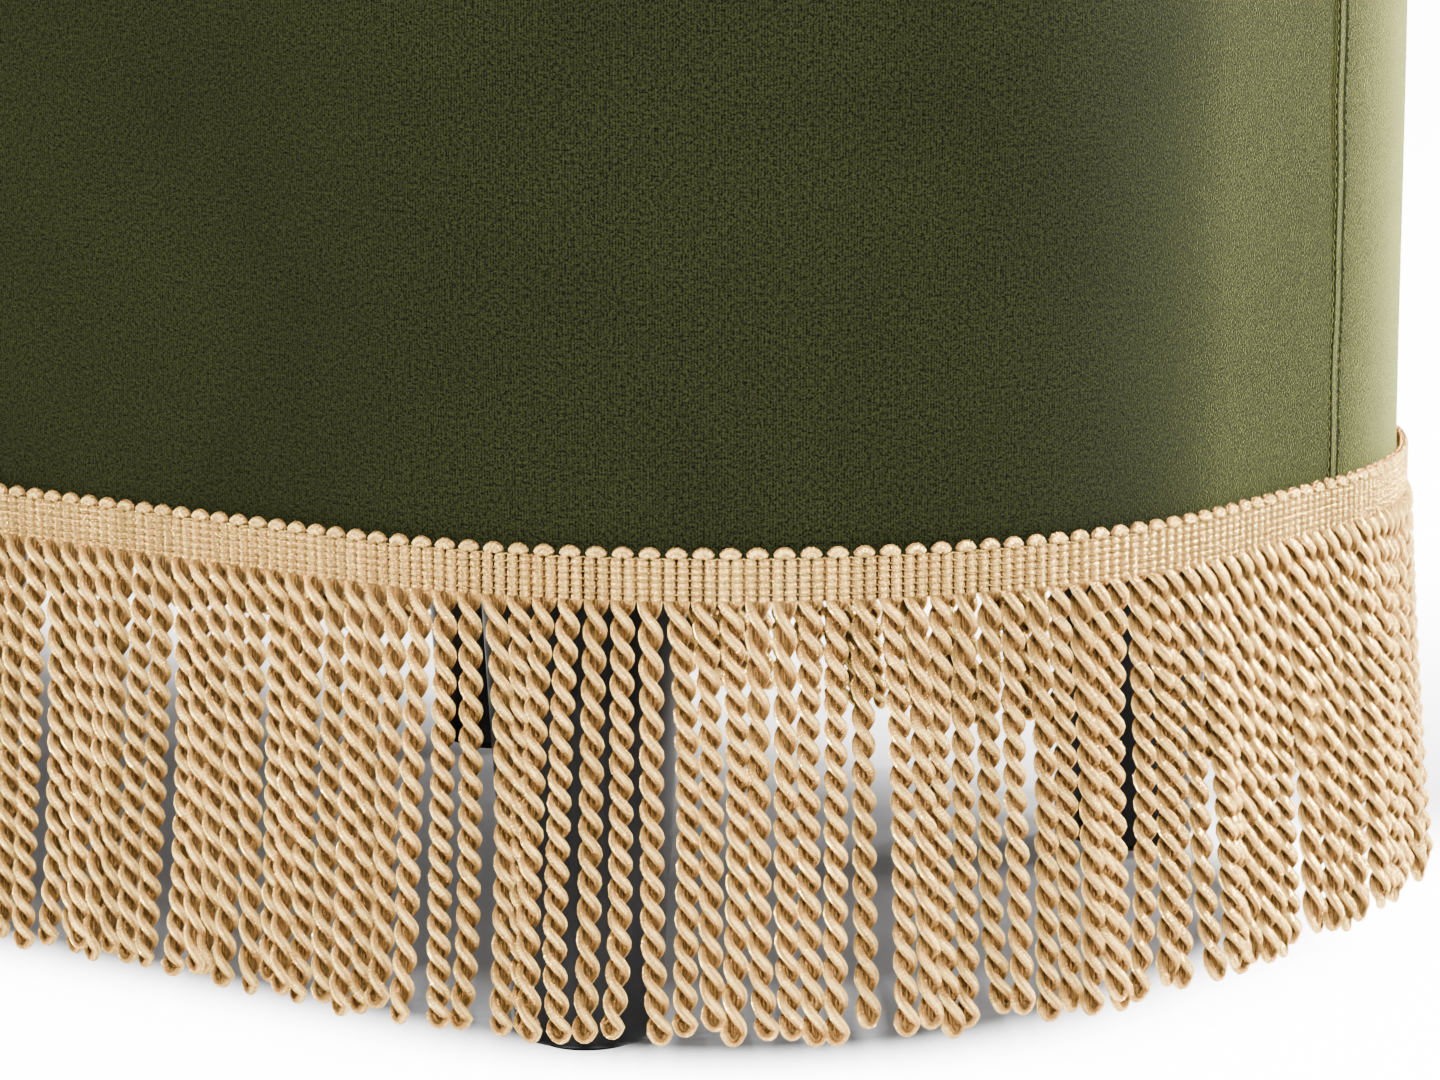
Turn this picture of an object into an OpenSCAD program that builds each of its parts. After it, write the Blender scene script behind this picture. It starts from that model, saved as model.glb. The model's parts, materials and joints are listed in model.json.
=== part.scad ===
// Storage bench ottoman: a plywood box with a racetrack outline, padded and covered in velvet,
// on six turned legs, with a rope fringe round its foot and a lid hinged along the rear.
// Millimetres, +Z up, +X towards the right end, -Y towards the front.
// The origin is on the floor at the middle of the bench.

/* [Overall] */
// Length of the velvet body, end to end
body_length = 914; // [800:1:1200]
// Depth of the velvet body, front to rear
body_depth = 460; // [430:1:540]
// Height of the lid's crown above the floor
seat_height = 457; // [430:1:520]
// Length of the flat stretch across each end, between the rounded corners
end_straight = 70; // [20:1:160]
// Height of the body's underside, where the legs meet their plates
leg_top_z = 153; // [120:1:170]
// Height of the lid with the gap below it, from the body's top edge to the crown
lid_height = 113.5; // [95:0.5:140]

/* [Frame] */
// Thickness of the bottom board
base_board_t = 15; // [12:1:18]
// Thickness of the side walls
wall_t = 12; // [9:1:15]
// Thickness of the rim that ties the tops of the walls together
rim_t = 18; // [15:1:25]
// Width of a batten along its wall
batten_w = 30; // [20:1:40]
// Depth of a batten, square to its wall
batten_d = 21; // [14:1:22]
// Thickness of the loose floor panel of the storage space
floor_panel_t = 4; // [3:0.5:6]
// Thickness of the lining of the storage space
lining_t = 3; // [2:0.5:5]

/* [Padding and covers] */
// Thickness of the foam round the walls
side_foam_t = 8; // [5:1:12]
// Thickness of the velvet with its backing
velvet_t = 2; // [1.5:0.1:2.5]
// Width of velvet turned under the bottom board
hem_w = 20; // [15:1:20]
// Width of the raised seam allowance beside a stitched seam
seam_w = 8; // [5:0.5:12]
// How far a stitched seam stands proud of the velvet
seam_proud = 1.2; // [0.6:0.1:2]
// Thickness of the dust cover under the bench
dust_cover_t = 0.8; // [0.5:0.1:1.5]
// How far the dust cover's edge lies inside the velvet
dust_cover_inset = 12; // [8:1:18]

/* [Fringe] */
// Height of the woven header
header_h = 17; // [12:1:25]
// Thickness of the woven header
header_t = 4; // [3:0.5:5]
// Spacing of the fringe's cords along the header
cord_pitch = 8; // [7:0.5:12]
// Width of a cord from corner to corner
cord_d = 9.6; // [6:0.1:9.8]
// Longest drop of the cords below the header
cord_drop = 135; // [80:1:138]
// How much shorter than the longest a cord may be
cord_uneven = 4; // [0:0.5:8]
// Lean of the cords away from the bench, in degrees
cord_lean = 4; // [0:0.5:8]

/* [Legs] */
// Diameter of a leg at its top
leg_top_d = 66; // [55:1:68]
// Diameter of a leg at its foot
leg_foot_d = 47; // [40:1:60]
// Distance from the velvet's face to the middle of a corner leg
leg_inset = 57; // [56:1:80]
// How far round its corner a leg stands, in degrees from the end
leg_corner_turn = 72; // [45:1:80]
// Width of a square leg plate
leg_plate_w = 48; // [46:1:48]
// Thickness of the bolt that joins a leg to its plate
leg_bolt_d = 8; // [6:1:10]
// Length of that bolt inside the leg
leg_bolt_reach = 30; // [20:1:40]
// Diameter of the glide under a leg
glide_d = 30; // [20:1:38]
// Thickness of that glide
glide_t = 2.5; // [2:0.5:5]

/* [Lid] */
// Thickness of the lid's board
lid_board_t = 15; // [12:1:18]
// Rise of the lid's cushion from its rounded edge to its middle
lid_crown = 14; // [5:1:20]
// Radius of the lid's rounded top edge
lid_edge_r = 18; // [10:1:30]
// Width of velvet turned under the lid
lid_hem_w = 38; // [36:1:60]
// Radius of a lid bumper
bumper_r = 6; // [4:0.5:8]

/* [Hinges] */
// Width of a hinge leaf, along the hinge's axis
leaf_w = 60; // [50:1:76]
// Reach of a hinge leaf from the axis to its front edge
leaf_reach = 38; // [34:1:40]
// Thickness of a hinge leaf
leaf_t = 1.4; // [1.3:0.1:2]
// Outer radius of a hinge knuckle
knuckle_r = 4.5; // [4.3:0.1:6]
// Radius of a hinge pin
hinge_pin_r = 2.4; // [2:0.1:2.6]
// Wall of the friction sleeve round a hinge pin
sleeve_t = 0.8; // [0.5:0.1:1]
// Distance from the end of the straight rear side to the middle of a hinge
hinge_end_gap = 52; // [42:1:80]

/* [Hidden] */
$fn = 96;

// How far a cutting shape runs past what it cuts
overrun = 1;
// Gap between pieces that are glued or sewn together
seat_gap = 0.1;

// The rounded corners of the outline, and the straight stretches along its sides
corner_radius = (body_depth - end_straight) / 2;
side_straight = body_length - 2 * corner_radius;

// Heights of the layers, from the floor up
body_top_z = seat_height - lid_height;
base_z = leg_top_z + velvet_t;
floor_z = base_z + base_board_t;
rim_top_z = body_top_z - velvet_t;
rim_z = rim_top_z - rim_t;
leaf_slack = 0.2;
lid_gap = 2 * leaf_t + leaf_slack;
lid_z = body_top_z + lid_gap;
lid_board_z = lid_z + velvet_t;
lid_foam_z = lid_board_z + lid_board_t;
lid_seam_z = seat_height - lid_crown - lid_edge_r;

// Distances inwards from the face of the velvet
frame_in = velvet_t + side_foam_t;
wall_in = frame_in + wall_t;
lining_in = wall_in + batten_d + seat_gap;
cavity_in = lining_in + lining_t;
hem_in = velvet_t + hem_w;
lid_hem_in = velvet_t + lid_hem_w;

// The seams of the side cover, where the flat of an end runs into the rear corner
seam_y = end_straight / 2;

// Legs
leg_x = side_straight / 2 + (corner_radius - leg_inset) * cos(leg_corner_turn);
leg_y = end_straight / 2 + (corner_radius - leg_inset) * sin(leg_corner_turn);
leg_row = [-leg_x, 0, leg_x];
leg_hole_gap = 2;
leg_plate_t = velvet_t;
plate_screw_inset = 8;
plate_screw_at = leg_plate_w / 2 - plate_screw_inset;
bolt_slack = 0.05;
bushing_wall = 2.5;
bushing_h = 8;
bushing_room = 0.5;
bushing_hole_d = leg_bolt_d + 2 * (bushing_wall + bushing_room);
glide_nail_r = 1.2;
glide_nail_reach = 15;

// Fringe: the header lies on the velvet and its foot is level with the velvet's hem
header_foot_z = leg_top_z - seat_gap;
cord_out = 4;
cord_root = 4;
cord_wave_step = 47;
corner_parts = 3;
side_parts = 2;

// Hinges
hinge_x = side_straight / 2 - hinge_end_gap;
knuckle_gap = 0.5;
knuckle_side_gap = 0.3;
hinge_y = body_depth / 2 + knuckle_r + knuckle_gap;
hinge_z = body_top_z + lid_gap / 2;
lid_knuckle_share = 0.5;
lid_knuckle_w = leaf_w * lid_knuckle_share;
pin_slack = 0.02;
pin_running_gap = 0.06;
pin_head_r = 3.6;
pin_head_t = 1.4;
leaf_screw_spread_share = 0.34;
leaf_screw_at = leaf_w * leaf_screw_spread_share;
leaf_screw_reach_share = 0.62;
leaf_screw_y = hinge_y - leaf_reach * leaf_screw_reach_share;

// Screws: heads are sunk flush in the plate they hold
screw_r = 1.7;
screw_head_r = 3.3;
screw_head_t = 1.2;
screw_reach = 12;
screw_slack = 0.05;

// Lid
bumper_squash = 0.1;
bumper_t = lid_gap - bumper_squash;
arc_steps = 12;
edge_steps = 5;
crown_steps = 4;
crown_in_share = 0.8;
crown_in = corner_radius * crown_in_share;

velvet_green = [0.27, 0.31, 0.16];
fringe_gold = [0.85, 0.73, 0.52];
leg_black = [0.05, 0.05, 0.05];
plywood = [0.80, 0.66, 0.45];
foam_white = [0.93, 0.90, 0.82];
lining_grey = [0.33, 0.33, 0.34];
steel = [0.70, 0.71, 0.73];

// Outlines and the layers drawn from them

// The bench seen from above, drawn in by inset
module plan(inset) {
    r = corner_radius - inset;
    square([side_straight, body_depth - 2 * inset], center = true);
    square([body_length - 2 * inset, end_straight], center = true);
    for (sx = [-1, 1], sy = [-1, 1])
        translate([sx * side_straight / 2, sy * end_straight / 2])
            circle(r = r);
}

// A layer of that outline, from z up by t
module layer(inset, z, t) {
    translate([0, 0, z])
        linear_extrude(height = t)
            plan(inset);
}

// A wall that follows the outline, from inset inwards by t, from z up by h
module band(inset, t, z, h) {
    difference() {
        layer(inset, z, h);
        layer(inset + t, z - overrun, h + 2 * overrun);
    }
}

// All that lies beyond x = from, on the side that dir names
module beyond_x(from, dir) {
    reach = body_length;
    translate([dir > 0 ? from : from - reach, -reach / 2, -reach])
        cube([reach, reach, 2 * reach]);
}

// All that lies behind y = from, or in front of it where dir is negative
module beyond_y(from, dir) {
    reach = 2 * body_length;
    translate([-reach / 2, dir > 0 ? from : from - reach, -reach])
        cube([reach, reach, 2 * reach]);
}

module each_leg() {
    for (x = leg_row, sy = [-1, 1])
        translate([x, sy * leg_y, 0])
            children();
}

module each_plate_screw() {
    for (sx = [-1, 1], sy = [-1, 1])
        translate([sx * plate_screw_at, sy * plate_screw_at, leg_top_z])
            children();
}

module each_leaf_screw(side) {
    for (k = [-1, 0, 1])
        translate([side * hinge_x + k * leaf_screw_at, leaf_screw_y, 0])
            children();
}

// A sunk screw that points up from the origin, or its hole where grow is above zero
module screw(grow) {
    cylinder(r1 = screw_head_r + grow, r2 = screw_r + grow, h = screw_head_t);
    cylinder(r = screw_r + grow, h = leaf_t + velvet_t + screw_reach + grow);
}

// Frame

module bottom_board() {
    color(plywood)
        difference() {
            layer(frame_in, base_z, base_board_t);
            each_leg() {
                translate([0, 0, base_z - overrun])
                    cylinder(d = bushing_hole_d, h = bushing_h + 2 * overrun);
                each_plate_screw()
                    screw(screw_slack);
            }
        }
}

module side_wall(dir) {
    y = body_depth / 2 - wall_in + wall_t / 2;
    color(plywood)
        translate([0, dir * y, (floor_z + rim_z) / 2])
            cube([side_straight, wall_t, rim_z - floor_z], center = true);
}

module end_wall(dir) {
    color(plywood)
        intersection() {
            band(frame_in, wall_t, floor_z, rim_z - floor_z);
            beyond_x(dir * side_straight / 2, dir);
        }
}

// Battens behind the joints of the walls, cut to the curve of the outline
module wall_battens() {
    color(plywood)
        intersection() {
            band(wall_in, batten_d, floor_z, rim_z - floor_z);
            for (sx = [-1, 1])
                translate([sx * side_straight / 2, 0, (floor_z + rim_z) / 2])
                    cube([batten_w, body_depth, rim_z - floor_z], center = true);
        }
}

module top_rim() {
    color(plywood)
        difference() {
            band(frame_in, cavity_in - frame_in, rim_z, rim_t);
            for (side = [-1, 1])
                each_leaf_screw(side)
                    translate([0, 0, body_top_z + leaf_t])
                        mirror([0, 0, 1])
                            screw(screw_slack);
        }
}

module storage_floor() {
    color(lining_grey)
        layer(cavity_in + seat_gap, floor_z, floor_panel_t);
}

module storage_lining() {
    color(lining_grey)
        band(lining_in, lining_t, floor_z, rim_z - floor_z);
}

// Padding and covers of the body

module side_foam() {
    color(foam_white)
        band(velvet_t, side_foam_t, base_z, rim_top_z - base_z);
}

// The velvet round the sides, with its hem below and its turning over the rim
module body_skin() {
    difference() {
        layer(0, leg_top_z, body_top_z - leg_top_z);
        layer(velvet_t, base_z, rim_top_z - base_z);
        layer(hem_in, leg_top_z - overrun, velvet_t + 2 * overrun);
        layer(cavity_in, rim_top_z - overrun, velvet_t + 2 * overrun);
        for (side = [-1, 1])
            each_leaf_screw(side)
                translate([0, 0, body_top_z + leaf_t])
                    mirror([0, 0, 1])
                        screw(screw_slack);
    }
}

module cover(dir) {
    color(velvet_green)
        intersection() {
            body_skin();
            beyond_y(seam_y, dir);
        }
}

module side_seam(dir) {
    foot = header_foot_z + header_h + seat_gap;
    color(velvet_green)
        intersection() {
            band(-seam_proud, seam_proud, foot, body_top_z - foot);
            beyond_x(0, dir);
            translate([-body_length, seam_y, 0])
                cube([2 * body_length, seam_w, seat_height]);
        }
}

module dust_cover() {
    color(lining_grey)
        difference() {
            layer(dust_cover_inset, leg_top_z - dust_cover_t, dust_cover_t);
            each_leg()
                translate([0, 0, leg_top_z - dust_cover_t - overrun])
                    cylinder(d = leg_top_d + 2 * leg_hole_gap, h = dust_cover_t + 2 * overrun);
        }
}

// Legs

module leg(x, y) {
    color(leg_black)
        translate([x, y, 0])
            difference() {
                translate([0, 0, glide_t])
                    cylinder(d1 = leg_foot_d, d2 = leg_top_d, h = leg_top_z - glide_t);
                translate([0, 0, leg_top_z - leg_bolt_reach - bolt_slack])
                    cylinder(d = leg_bolt_d, h = leg_bolt_reach + overrun);
                translate([0, 0, glide_t - overrun])
                    cylinder(r = glide_nail_r + bolt_slack, h = glide_nail_reach + overrun + bolt_slack);
            }
}

module leg_plates() {
    color(steel)
        each_leg()
            difference() {
                union() {
                    translate([-leg_plate_w / 2, -leg_plate_w / 2, leg_top_z])
                        cube([leg_plate_w, leg_plate_w, leg_plate_t]);
                    translate([0, 0, leg_top_z])
                        cylinder(d = leg_bolt_d + 2 * bushing_wall, h = leg_plate_t + bushing_h);
                }
                translate([0, 0, leg_top_z - overrun])
                    cylinder(d = leg_bolt_d, h = leg_plate_t + bushing_h + 2 * overrun);
                each_plate_screw()
                    screw(screw_slack);
            }
}

module leg_plate_screws() {
    color(steel)
        each_leg()
            each_plate_screw()
                screw(0);
}

module leg_bolts() {
    color(steel)
        each_leg()
            translate([0, 0, leg_top_z - leg_bolt_reach])
                cylinder(d = leg_bolt_d - 2 * bolt_slack, h = leg_bolt_reach + leg_plate_t + bushing_h);
}

module leg_glides() {
    color(leg_black)
        each_leg() {
            cylinder(d = glide_d, h = glide_t);
            cylinder(r = glide_nail_r, h = glide_t + glide_nail_reach - bolt_slack);
        }
}

// Fringe: each stretch is a slice of the header with its cords fused to its foot

// One cord that hangs from the origin, leaning towards +X
module cord(k) {
    drop = cord_drop - cord_uneven * abs(sin(k * cord_wave_step));
    rotate([0, -cord_lean, 0])
        translate([0, 0, -drop])
            rotate([0, 0, 45])
                cylinder(d = cord_d, h = drop + cord_root, $fn = 4);
}

function cord_count(length) = max(1, round(length / cord_pitch));

// A straight stretch, centred on the origin's x, facing -Y, at distance out from the middle
module straight_fringe(length, out) {
    count = cord_count(length);
    step = length / count;
    color(fringe_gold) {
        translate([-length / 2, -out - seat_gap - header_t, header_foot_z])
            cube([length, header_t, header_h]);
        for (k = [0 : count - 1])
            translate([(k + 0.5) * step - length / 2, -out - cord_out, header_foot_z])
                rotate([0, 0, -90])
                    cord(k);
    }
}

// A stretch round part of the front right corner, from angle a0 to a1 in degrees
module corner_fringe(a0, a1) {
    r = corner_radius + seat_gap;
    reach = 2 * (r + header_t);
    count = cord_count((r + header_t / 2) * (a1 - a0) * PI / 180);
    step = (a1 - a0) / count;
    color(fringe_gold)
        translate([side_straight / 2, -end_straight / 2, header_foot_z]) {
            linear_extrude(height = header_h)
                intersection() {
                    difference() {
                        circle(r = r + header_t);
                        circle(r = r);
                    }
                    polygon([[0, 0],
                        [reach * cos(a0), reach * sin(a0)],
                        [reach * cos((a0 + a1) / 2), reach * sin((a0 + a1) / 2)],
                        [reach * cos(a1), reach * sin(a1)]]);
                }
            for (k = [0 : count - 1])
                rotate([0, 0, a0 + (k + 0.5) * step])
                    translate([corner_radius + cord_out, 0, 0])
                        cord(k);
        }
}

// The stretches of the long front, numbered from the left
module fringe_front(n) {
    length = side_straight / side_parts;
    translate([(n - (side_parts + 1) / 2) * length, 0, 0])
        straight_fringe(length, body_depth / 2);
}

// The stretches round the right end, numbered from the front
module fringe_right(n) {
    turn = 90 / corner_parts;
    if (n <= corner_parts)
        corner_fringe(-90 + (n - 1) * turn, -90 + n * turn);
    if (n == corner_parts + 1)
        rotate([0, 0, 90])
            straight_fringe(end_straight, body_length / 2);
    if (n > corner_parts + 1)
        mirror([0, 1, 0])
            corner_fringe(-90 + (2 * corner_parts + 1 - n) * turn, -90 + (2 * corner_parts + 2 - n) * turn);
}

module fringe_rear(n) {
    rotate([0, 0, 180])
        fringe_front(n);
}

module fringe_left(n) {
    rotate([0, 0, 180])
        fringe_right(n);
}

// Hinges

module barrel(x, w, r) {
    translate([x - w / 2, hinge_y, hinge_z])
        rotate([0, 90, 0])
            cylinder(r = r, h = w);
}

// The flat of a leaf from z up, with a tongue and a knuckle at each of the places in at
module leaf(side, z, at, w, bore_r) {
    x = side * hinge_x;
    reach = leaf_reach - knuckle_r - knuckle_side_gap;
    difference() {
        union() {
            translate([x - leaf_w / 2, hinge_y - leaf_reach, z])
                cube([leaf_w, reach, leaf_t]);
            for (a = at) {
                translate([x + a - w / 2, hinge_y - leaf_reach + reach / 2, z])
                    cube([w, leaf_reach - reach / 2, leaf_t]);
                barrel(x + a, w, knuckle_r);
            }
        }
        barrel(x, leaf_w + 2 * overrun, bore_r);
    }
}

module hinge_body_leaf(side) {
    w = (leaf_w - lid_knuckle_w) / 2 - knuckle_side_gap;
    color(steel)
        difference() {
            leaf(side, body_top_z, [-(leaf_w - w) / 2, (leaf_w - w) / 2], w, hinge_pin_r + pin_slack);
            each_leaf_screw(side)
                translate([0, 0, body_top_z + leaf_t])
                    mirror([0, 0, 1])
                        screw(screw_slack);
        }
}

module hinge_lid_leaf(side) {
    color(steel)
        difference() {
            leaf(side, lid_z - leaf_t, [0], lid_knuckle_w, hinge_pin_r + pin_running_gap + sleeve_t);
            each_leaf_screw(side)
                translate([0, 0, lid_z - leaf_t])
                    screw(screw_slack);
        }
}

module hinge_pin(side) {
    color(steel) {
        barrel(side * hinge_x, leaf_w + 2 * pin_head_t, hinge_pin_r);
        for (k = [-1, 1])
            barrel(side * hinge_x + k * (leaf_w + pin_head_t) / 2, pin_head_t, pin_head_r);
    }
}

module hinge_sleeves() {
    color(leg_black)
        for (side = [-1, 1])
            difference() {
                barrel(side * hinge_x, lid_knuckle_w, hinge_pin_r + pin_running_gap + sleeve_t - pin_slack);
                barrel(side * hinge_x, lid_knuckle_w + 2 * overrun, hinge_pin_r + pin_running_gap);
            }
}

module hinge_body_screws() {
    color(steel)
        for (side = [-1, 1])
            each_leaf_screw(side)
                translate([0, 0, body_top_z + leaf_t])
                    mirror([0, 0, 1])
                        screw(0);
}

module hinge_lid_screws() {
    color(steel)
        for (side = [-1, 1])
            each_leaf_screw(side)
                translate([0, 0, lid_z - leaf_t])
                    screw(0);
}

module lid_bumpers() {
    y = body_depth / 2 - (frame_in + cavity_in) / 2;
    color(leg_black)
        for (sx = [-1, 1], sy = [-1, 1])
            translate([sx * side_straight / 2, sy * y, body_top_z])
                cylinder(r = bumper_r, h = bumper_t);
}

// Lid

module lid_board() {
    color(plywood)
        difference() {
            layer(velvet_t, lid_board_z, lid_board_t);
            for (side = [-1, 1])
                each_leaf_screw(side)
                    translate([0, 0, lid_z - leaf_t])
                        screw(screw_slack);
        }
}

module lid_lining() {
    color(lining_grey)
        layer(lid_hem_in, lid_z, velvet_t);
}

// The velvet round the lid's side, with its turning under the board
module lid_boxing() {
    color(velvet_green)
        difference() {
            layer(0, lid_z, lid_seam_z - lid_z);
            layer(velvet_t, lid_board_z, seat_height);
            layer(lid_hem_in, lid_z - overrun, velvet_t + 2 * overrun);
            for (side = [-1, 1])
                each_leaf_screw(side)
                    translate([0, 0, lid_z - leaf_t])
                        screw(screw_slack);
        }
}

module lid_seam() {
    color(velvet_green)
        band(-seam_proud, seam_proud, lid_seam_z - seam_w, seam_w);
}

// Points of the outline drawn in by inset, anticlockwise from the rear right corner's end
function outline(inset, z) = [
    for (q = [0 : 3], k = [0 : arc_steps])
        let (a = 90 * (q + k / arc_steps))
        let (sx = (q == 0 || q == 3) ? 1 : -1)
        let (sy = (q < 2) ? 1 : -1)
        [sx * side_straight / 2 + (corner_radius - inset) * cos(a),
         sy * end_straight / 2 + (corner_radius - inset) * sin(a),
         z]
];

// The lid's profile as pairs of inset and height, drawn in by t: a rounded edge, then the crown
function lid_profile(t) = concat(
    [for (k = [0 : edge_steps])
        let (a = 90 * k / edge_steps)
        [lid_edge_r - (lid_edge_r - t) * cos(a), lid_seam_z + (lid_edge_r - t) * sin(a)]],
    [for (k = [1 : crown_steps])
        let (share = k / crown_steps)
        [lid_edge_r + (crown_in - lid_edge_r) * share,
         lid_seam_z + lid_edge_r - t + lid_crown * sin(90 * share)]]);

function backwards(list) = [for (k = [len(list) - 1 : -1 : 0]) list[k]];

// A closed skin through the outlines of a profile, with a flat cap on the first and the last
module lofted(profile) {
    n = 4 * (arc_steps + 1);
    last = n * (len(profile) - 1);
    points = [for (p = profile) each outline(p[0], p[1])];
    sides = [
        for (r = [0 : len(profile) - 2], k = [0 : n - 1])
            let (a = r * n + k)
            let (b = r * n + (k + 1) % n)
            each [[a, b + n, b], [a, a + n, b + n]]
    ];
    first_cap = [for (k = [1 : n - 2]) [0, k, k + 1]];
    last_cap = [for (k = [1 : n - 2]) [last, last + k + 1, last + k]];
    polyhedron(points = points, faces = concat(sides, first_cap, last_cap));
}

module lid_foam() {
    inset = velvet_t + seat_gap;
    color(foam_white)
        lofted(concat([[inset, lid_foam_z]], lid_profile(inset)));
}

module lid_top_panel() {
    color(velvet_green)
        lofted(concat(backwards(lid_profile(velvet_t)), lid_profile(0)));
}

bottom_board();
dust_cover();
side_wall(-1);  // wall_front
side_wall(1);  // wall_rear
end_wall(-1);  // end_wall_left
end_wall(1);  // end_wall_right
wall_battens();
top_rim();
side_foam();
cover(-1);  // cover_front
cover(1);  // cover_rear
side_seam(-1);  // seam_left
side_seam(1);  // seam_right
storage_floor();
storage_lining();
leg(-leg_x, -leg_y);  // leg_front_left
leg(0, -leg_y);  // leg_front_middle
leg(leg_x, -leg_y);  // leg_front_right
leg(-leg_x, leg_y);  // leg_rear_left
leg(0, leg_y);  // leg_rear_middle
leg(leg_x, leg_y);  // leg_rear_right
leg_plates();
leg_plate_screws();
leg_bolts();
leg_glides();
fringe_front(1);  // fringe_front_1
fringe_front(2);  // fringe_front_2
fringe_right(1);  // fringe_right_1
fringe_right(2);  // fringe_right_2
fringe_right(3);  // fringe_right_3
fringe_right(4);  // fringe_right_4
fringe_right(5);  // fringe_right_5
fringe_right(6);  // fringe_right_6
fringe_right(7);  // fringe_right_7
fringe_rear(1);  // fringe_rear_1
fringe_rear(2);  // fringe_rear_2
fringe_left(1);  // fringe_left_1
fringe_left(2);  // fringe_left_2
fringe_left(3);  // fringe_left_3
fringe_left(4);  // fringe_left_4
fringe_left(5);  // fringe_left_5
fringe_left(6);  // fringe_left_6
fringe_left(7);  // fringe_left_7
hinge_body_leaf(-1);  // hinge_body_leaf_left
hinge_body_leaf(1);  // hinge_body_leaf_right
hinge_pin(-1);  // hinge_pin_left
hinge_pin(1);  // hinge_pin_right
hinge_body_screws();
lid_bumpers();
lid_board();
lid_foam();
lid_top_panel();
lid_boxing();
lid_seam();
lid_lining();
hinge_lid_leaf(-1);  // hinge_lid_leaf_left
hinge_lid_leaf(1);  // hinge_lid_leaf_right
hinge_sleeves();
hinge_lid_screws();
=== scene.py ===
import json
import math

import bpy
import numpy as np
from bpy.props import FloatProperty, FloatVectorProperty, IntProperty, PointerProperty
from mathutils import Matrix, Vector


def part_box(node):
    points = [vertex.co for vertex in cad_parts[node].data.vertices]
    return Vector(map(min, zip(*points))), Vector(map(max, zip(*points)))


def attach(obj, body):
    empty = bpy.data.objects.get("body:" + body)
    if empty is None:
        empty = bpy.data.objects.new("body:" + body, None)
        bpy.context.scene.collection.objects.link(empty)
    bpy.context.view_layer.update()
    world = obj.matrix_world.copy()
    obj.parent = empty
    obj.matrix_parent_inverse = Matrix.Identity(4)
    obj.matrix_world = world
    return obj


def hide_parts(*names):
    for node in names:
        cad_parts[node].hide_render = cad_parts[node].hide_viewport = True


bl_info = {
    "name": "Storage bench ottoman",
    "version": (1, 0, 0),
    "blender": (4, 5, 0),
    "location": "View3D > Sidebar > Ottoman",
    "description": "Dresses the frame of a fringed velvet storage bench: covers, lid, rope fringe and legs",
    "category": "Object",
}

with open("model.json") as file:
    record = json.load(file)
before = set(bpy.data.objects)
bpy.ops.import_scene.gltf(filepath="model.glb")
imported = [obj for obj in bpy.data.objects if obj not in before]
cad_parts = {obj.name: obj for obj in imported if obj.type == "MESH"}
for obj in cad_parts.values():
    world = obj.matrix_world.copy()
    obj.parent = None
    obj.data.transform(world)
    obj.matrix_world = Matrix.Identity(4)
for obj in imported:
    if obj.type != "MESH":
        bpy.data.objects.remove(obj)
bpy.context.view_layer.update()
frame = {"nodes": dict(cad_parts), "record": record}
TURN = 2 * math.pi
UP = np.array((0.0, 0.0, 1.0))
ORIGIN = (0.0, 0.0, 0.0)
STEP = 0.006                            # usual spacing of mesh points round the bench
GAP = 0.0002                            # kept between pieces that lie against each other
SPINE_IN = 0.17                         # inset from which rings close straight on the middle line

# Plan of the bench: straight stretches and quarter turns, read from the velvet covers
HALF_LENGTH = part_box("cover_front")[1].x
HALF_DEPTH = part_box("cover_rear")[1].y
HALF_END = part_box("cover_rear")[0].y
CORNER_R = HALF_DEPTH - HALF_END
HALF_SIDE = HALF_LENGTH - CORNER_R
QUARTER = CORNER_R * math.pi / 2
SEAM_S = HALF_SIDE + QUARTER + 2 * HALF_END
PERIMETER = 4 * (HALF_SIDE + HALF_END + QUARTER)

# Heights and insets of what the new pieces lie against
BODY_FOOT_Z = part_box("cover_front")[0].z
BODY_TOP_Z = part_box("cover_front")[1].z
BOARD_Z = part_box("bottom_board")[0].z
RIM_TOP_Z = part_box("top_rim")[1].z
RIM_IN = HALF_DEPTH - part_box("storage_floor")[1].y
LID_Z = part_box("lid_boxing")[0].z
LID_BOARD_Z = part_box("lid_board")[0].z
LID_FOAM_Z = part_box("lid_foam")[0].z
LID_SEAM_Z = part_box("lid_boxing")[1].z
LID_TOP_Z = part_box("lid_top_panel")[1].z
LID_LINING_IN = HALF_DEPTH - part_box("lid_lining")[1].y
HEADER_TOP_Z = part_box("fringe_front_1")[1].z
FRINGE_FOOT_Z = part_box("fringe_front_1")[0].z
LEG_NODES = ["leg_%s_%s" % (row, column) for row in ("front", "rear")
             for column in ("left", "middle", "right")]


# Settings


def color_setting(name, description, default):
    return FloatVectorProperty(name=name, description=description, subtype="COLOR", size=3,
                               min=0, max=1, default=default)


def length_setting(name, description, low, high, default):
    return FloatProperty(name=name, description=description, unit="LENGTH", min=low, max=high,
                         default=default)


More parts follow.
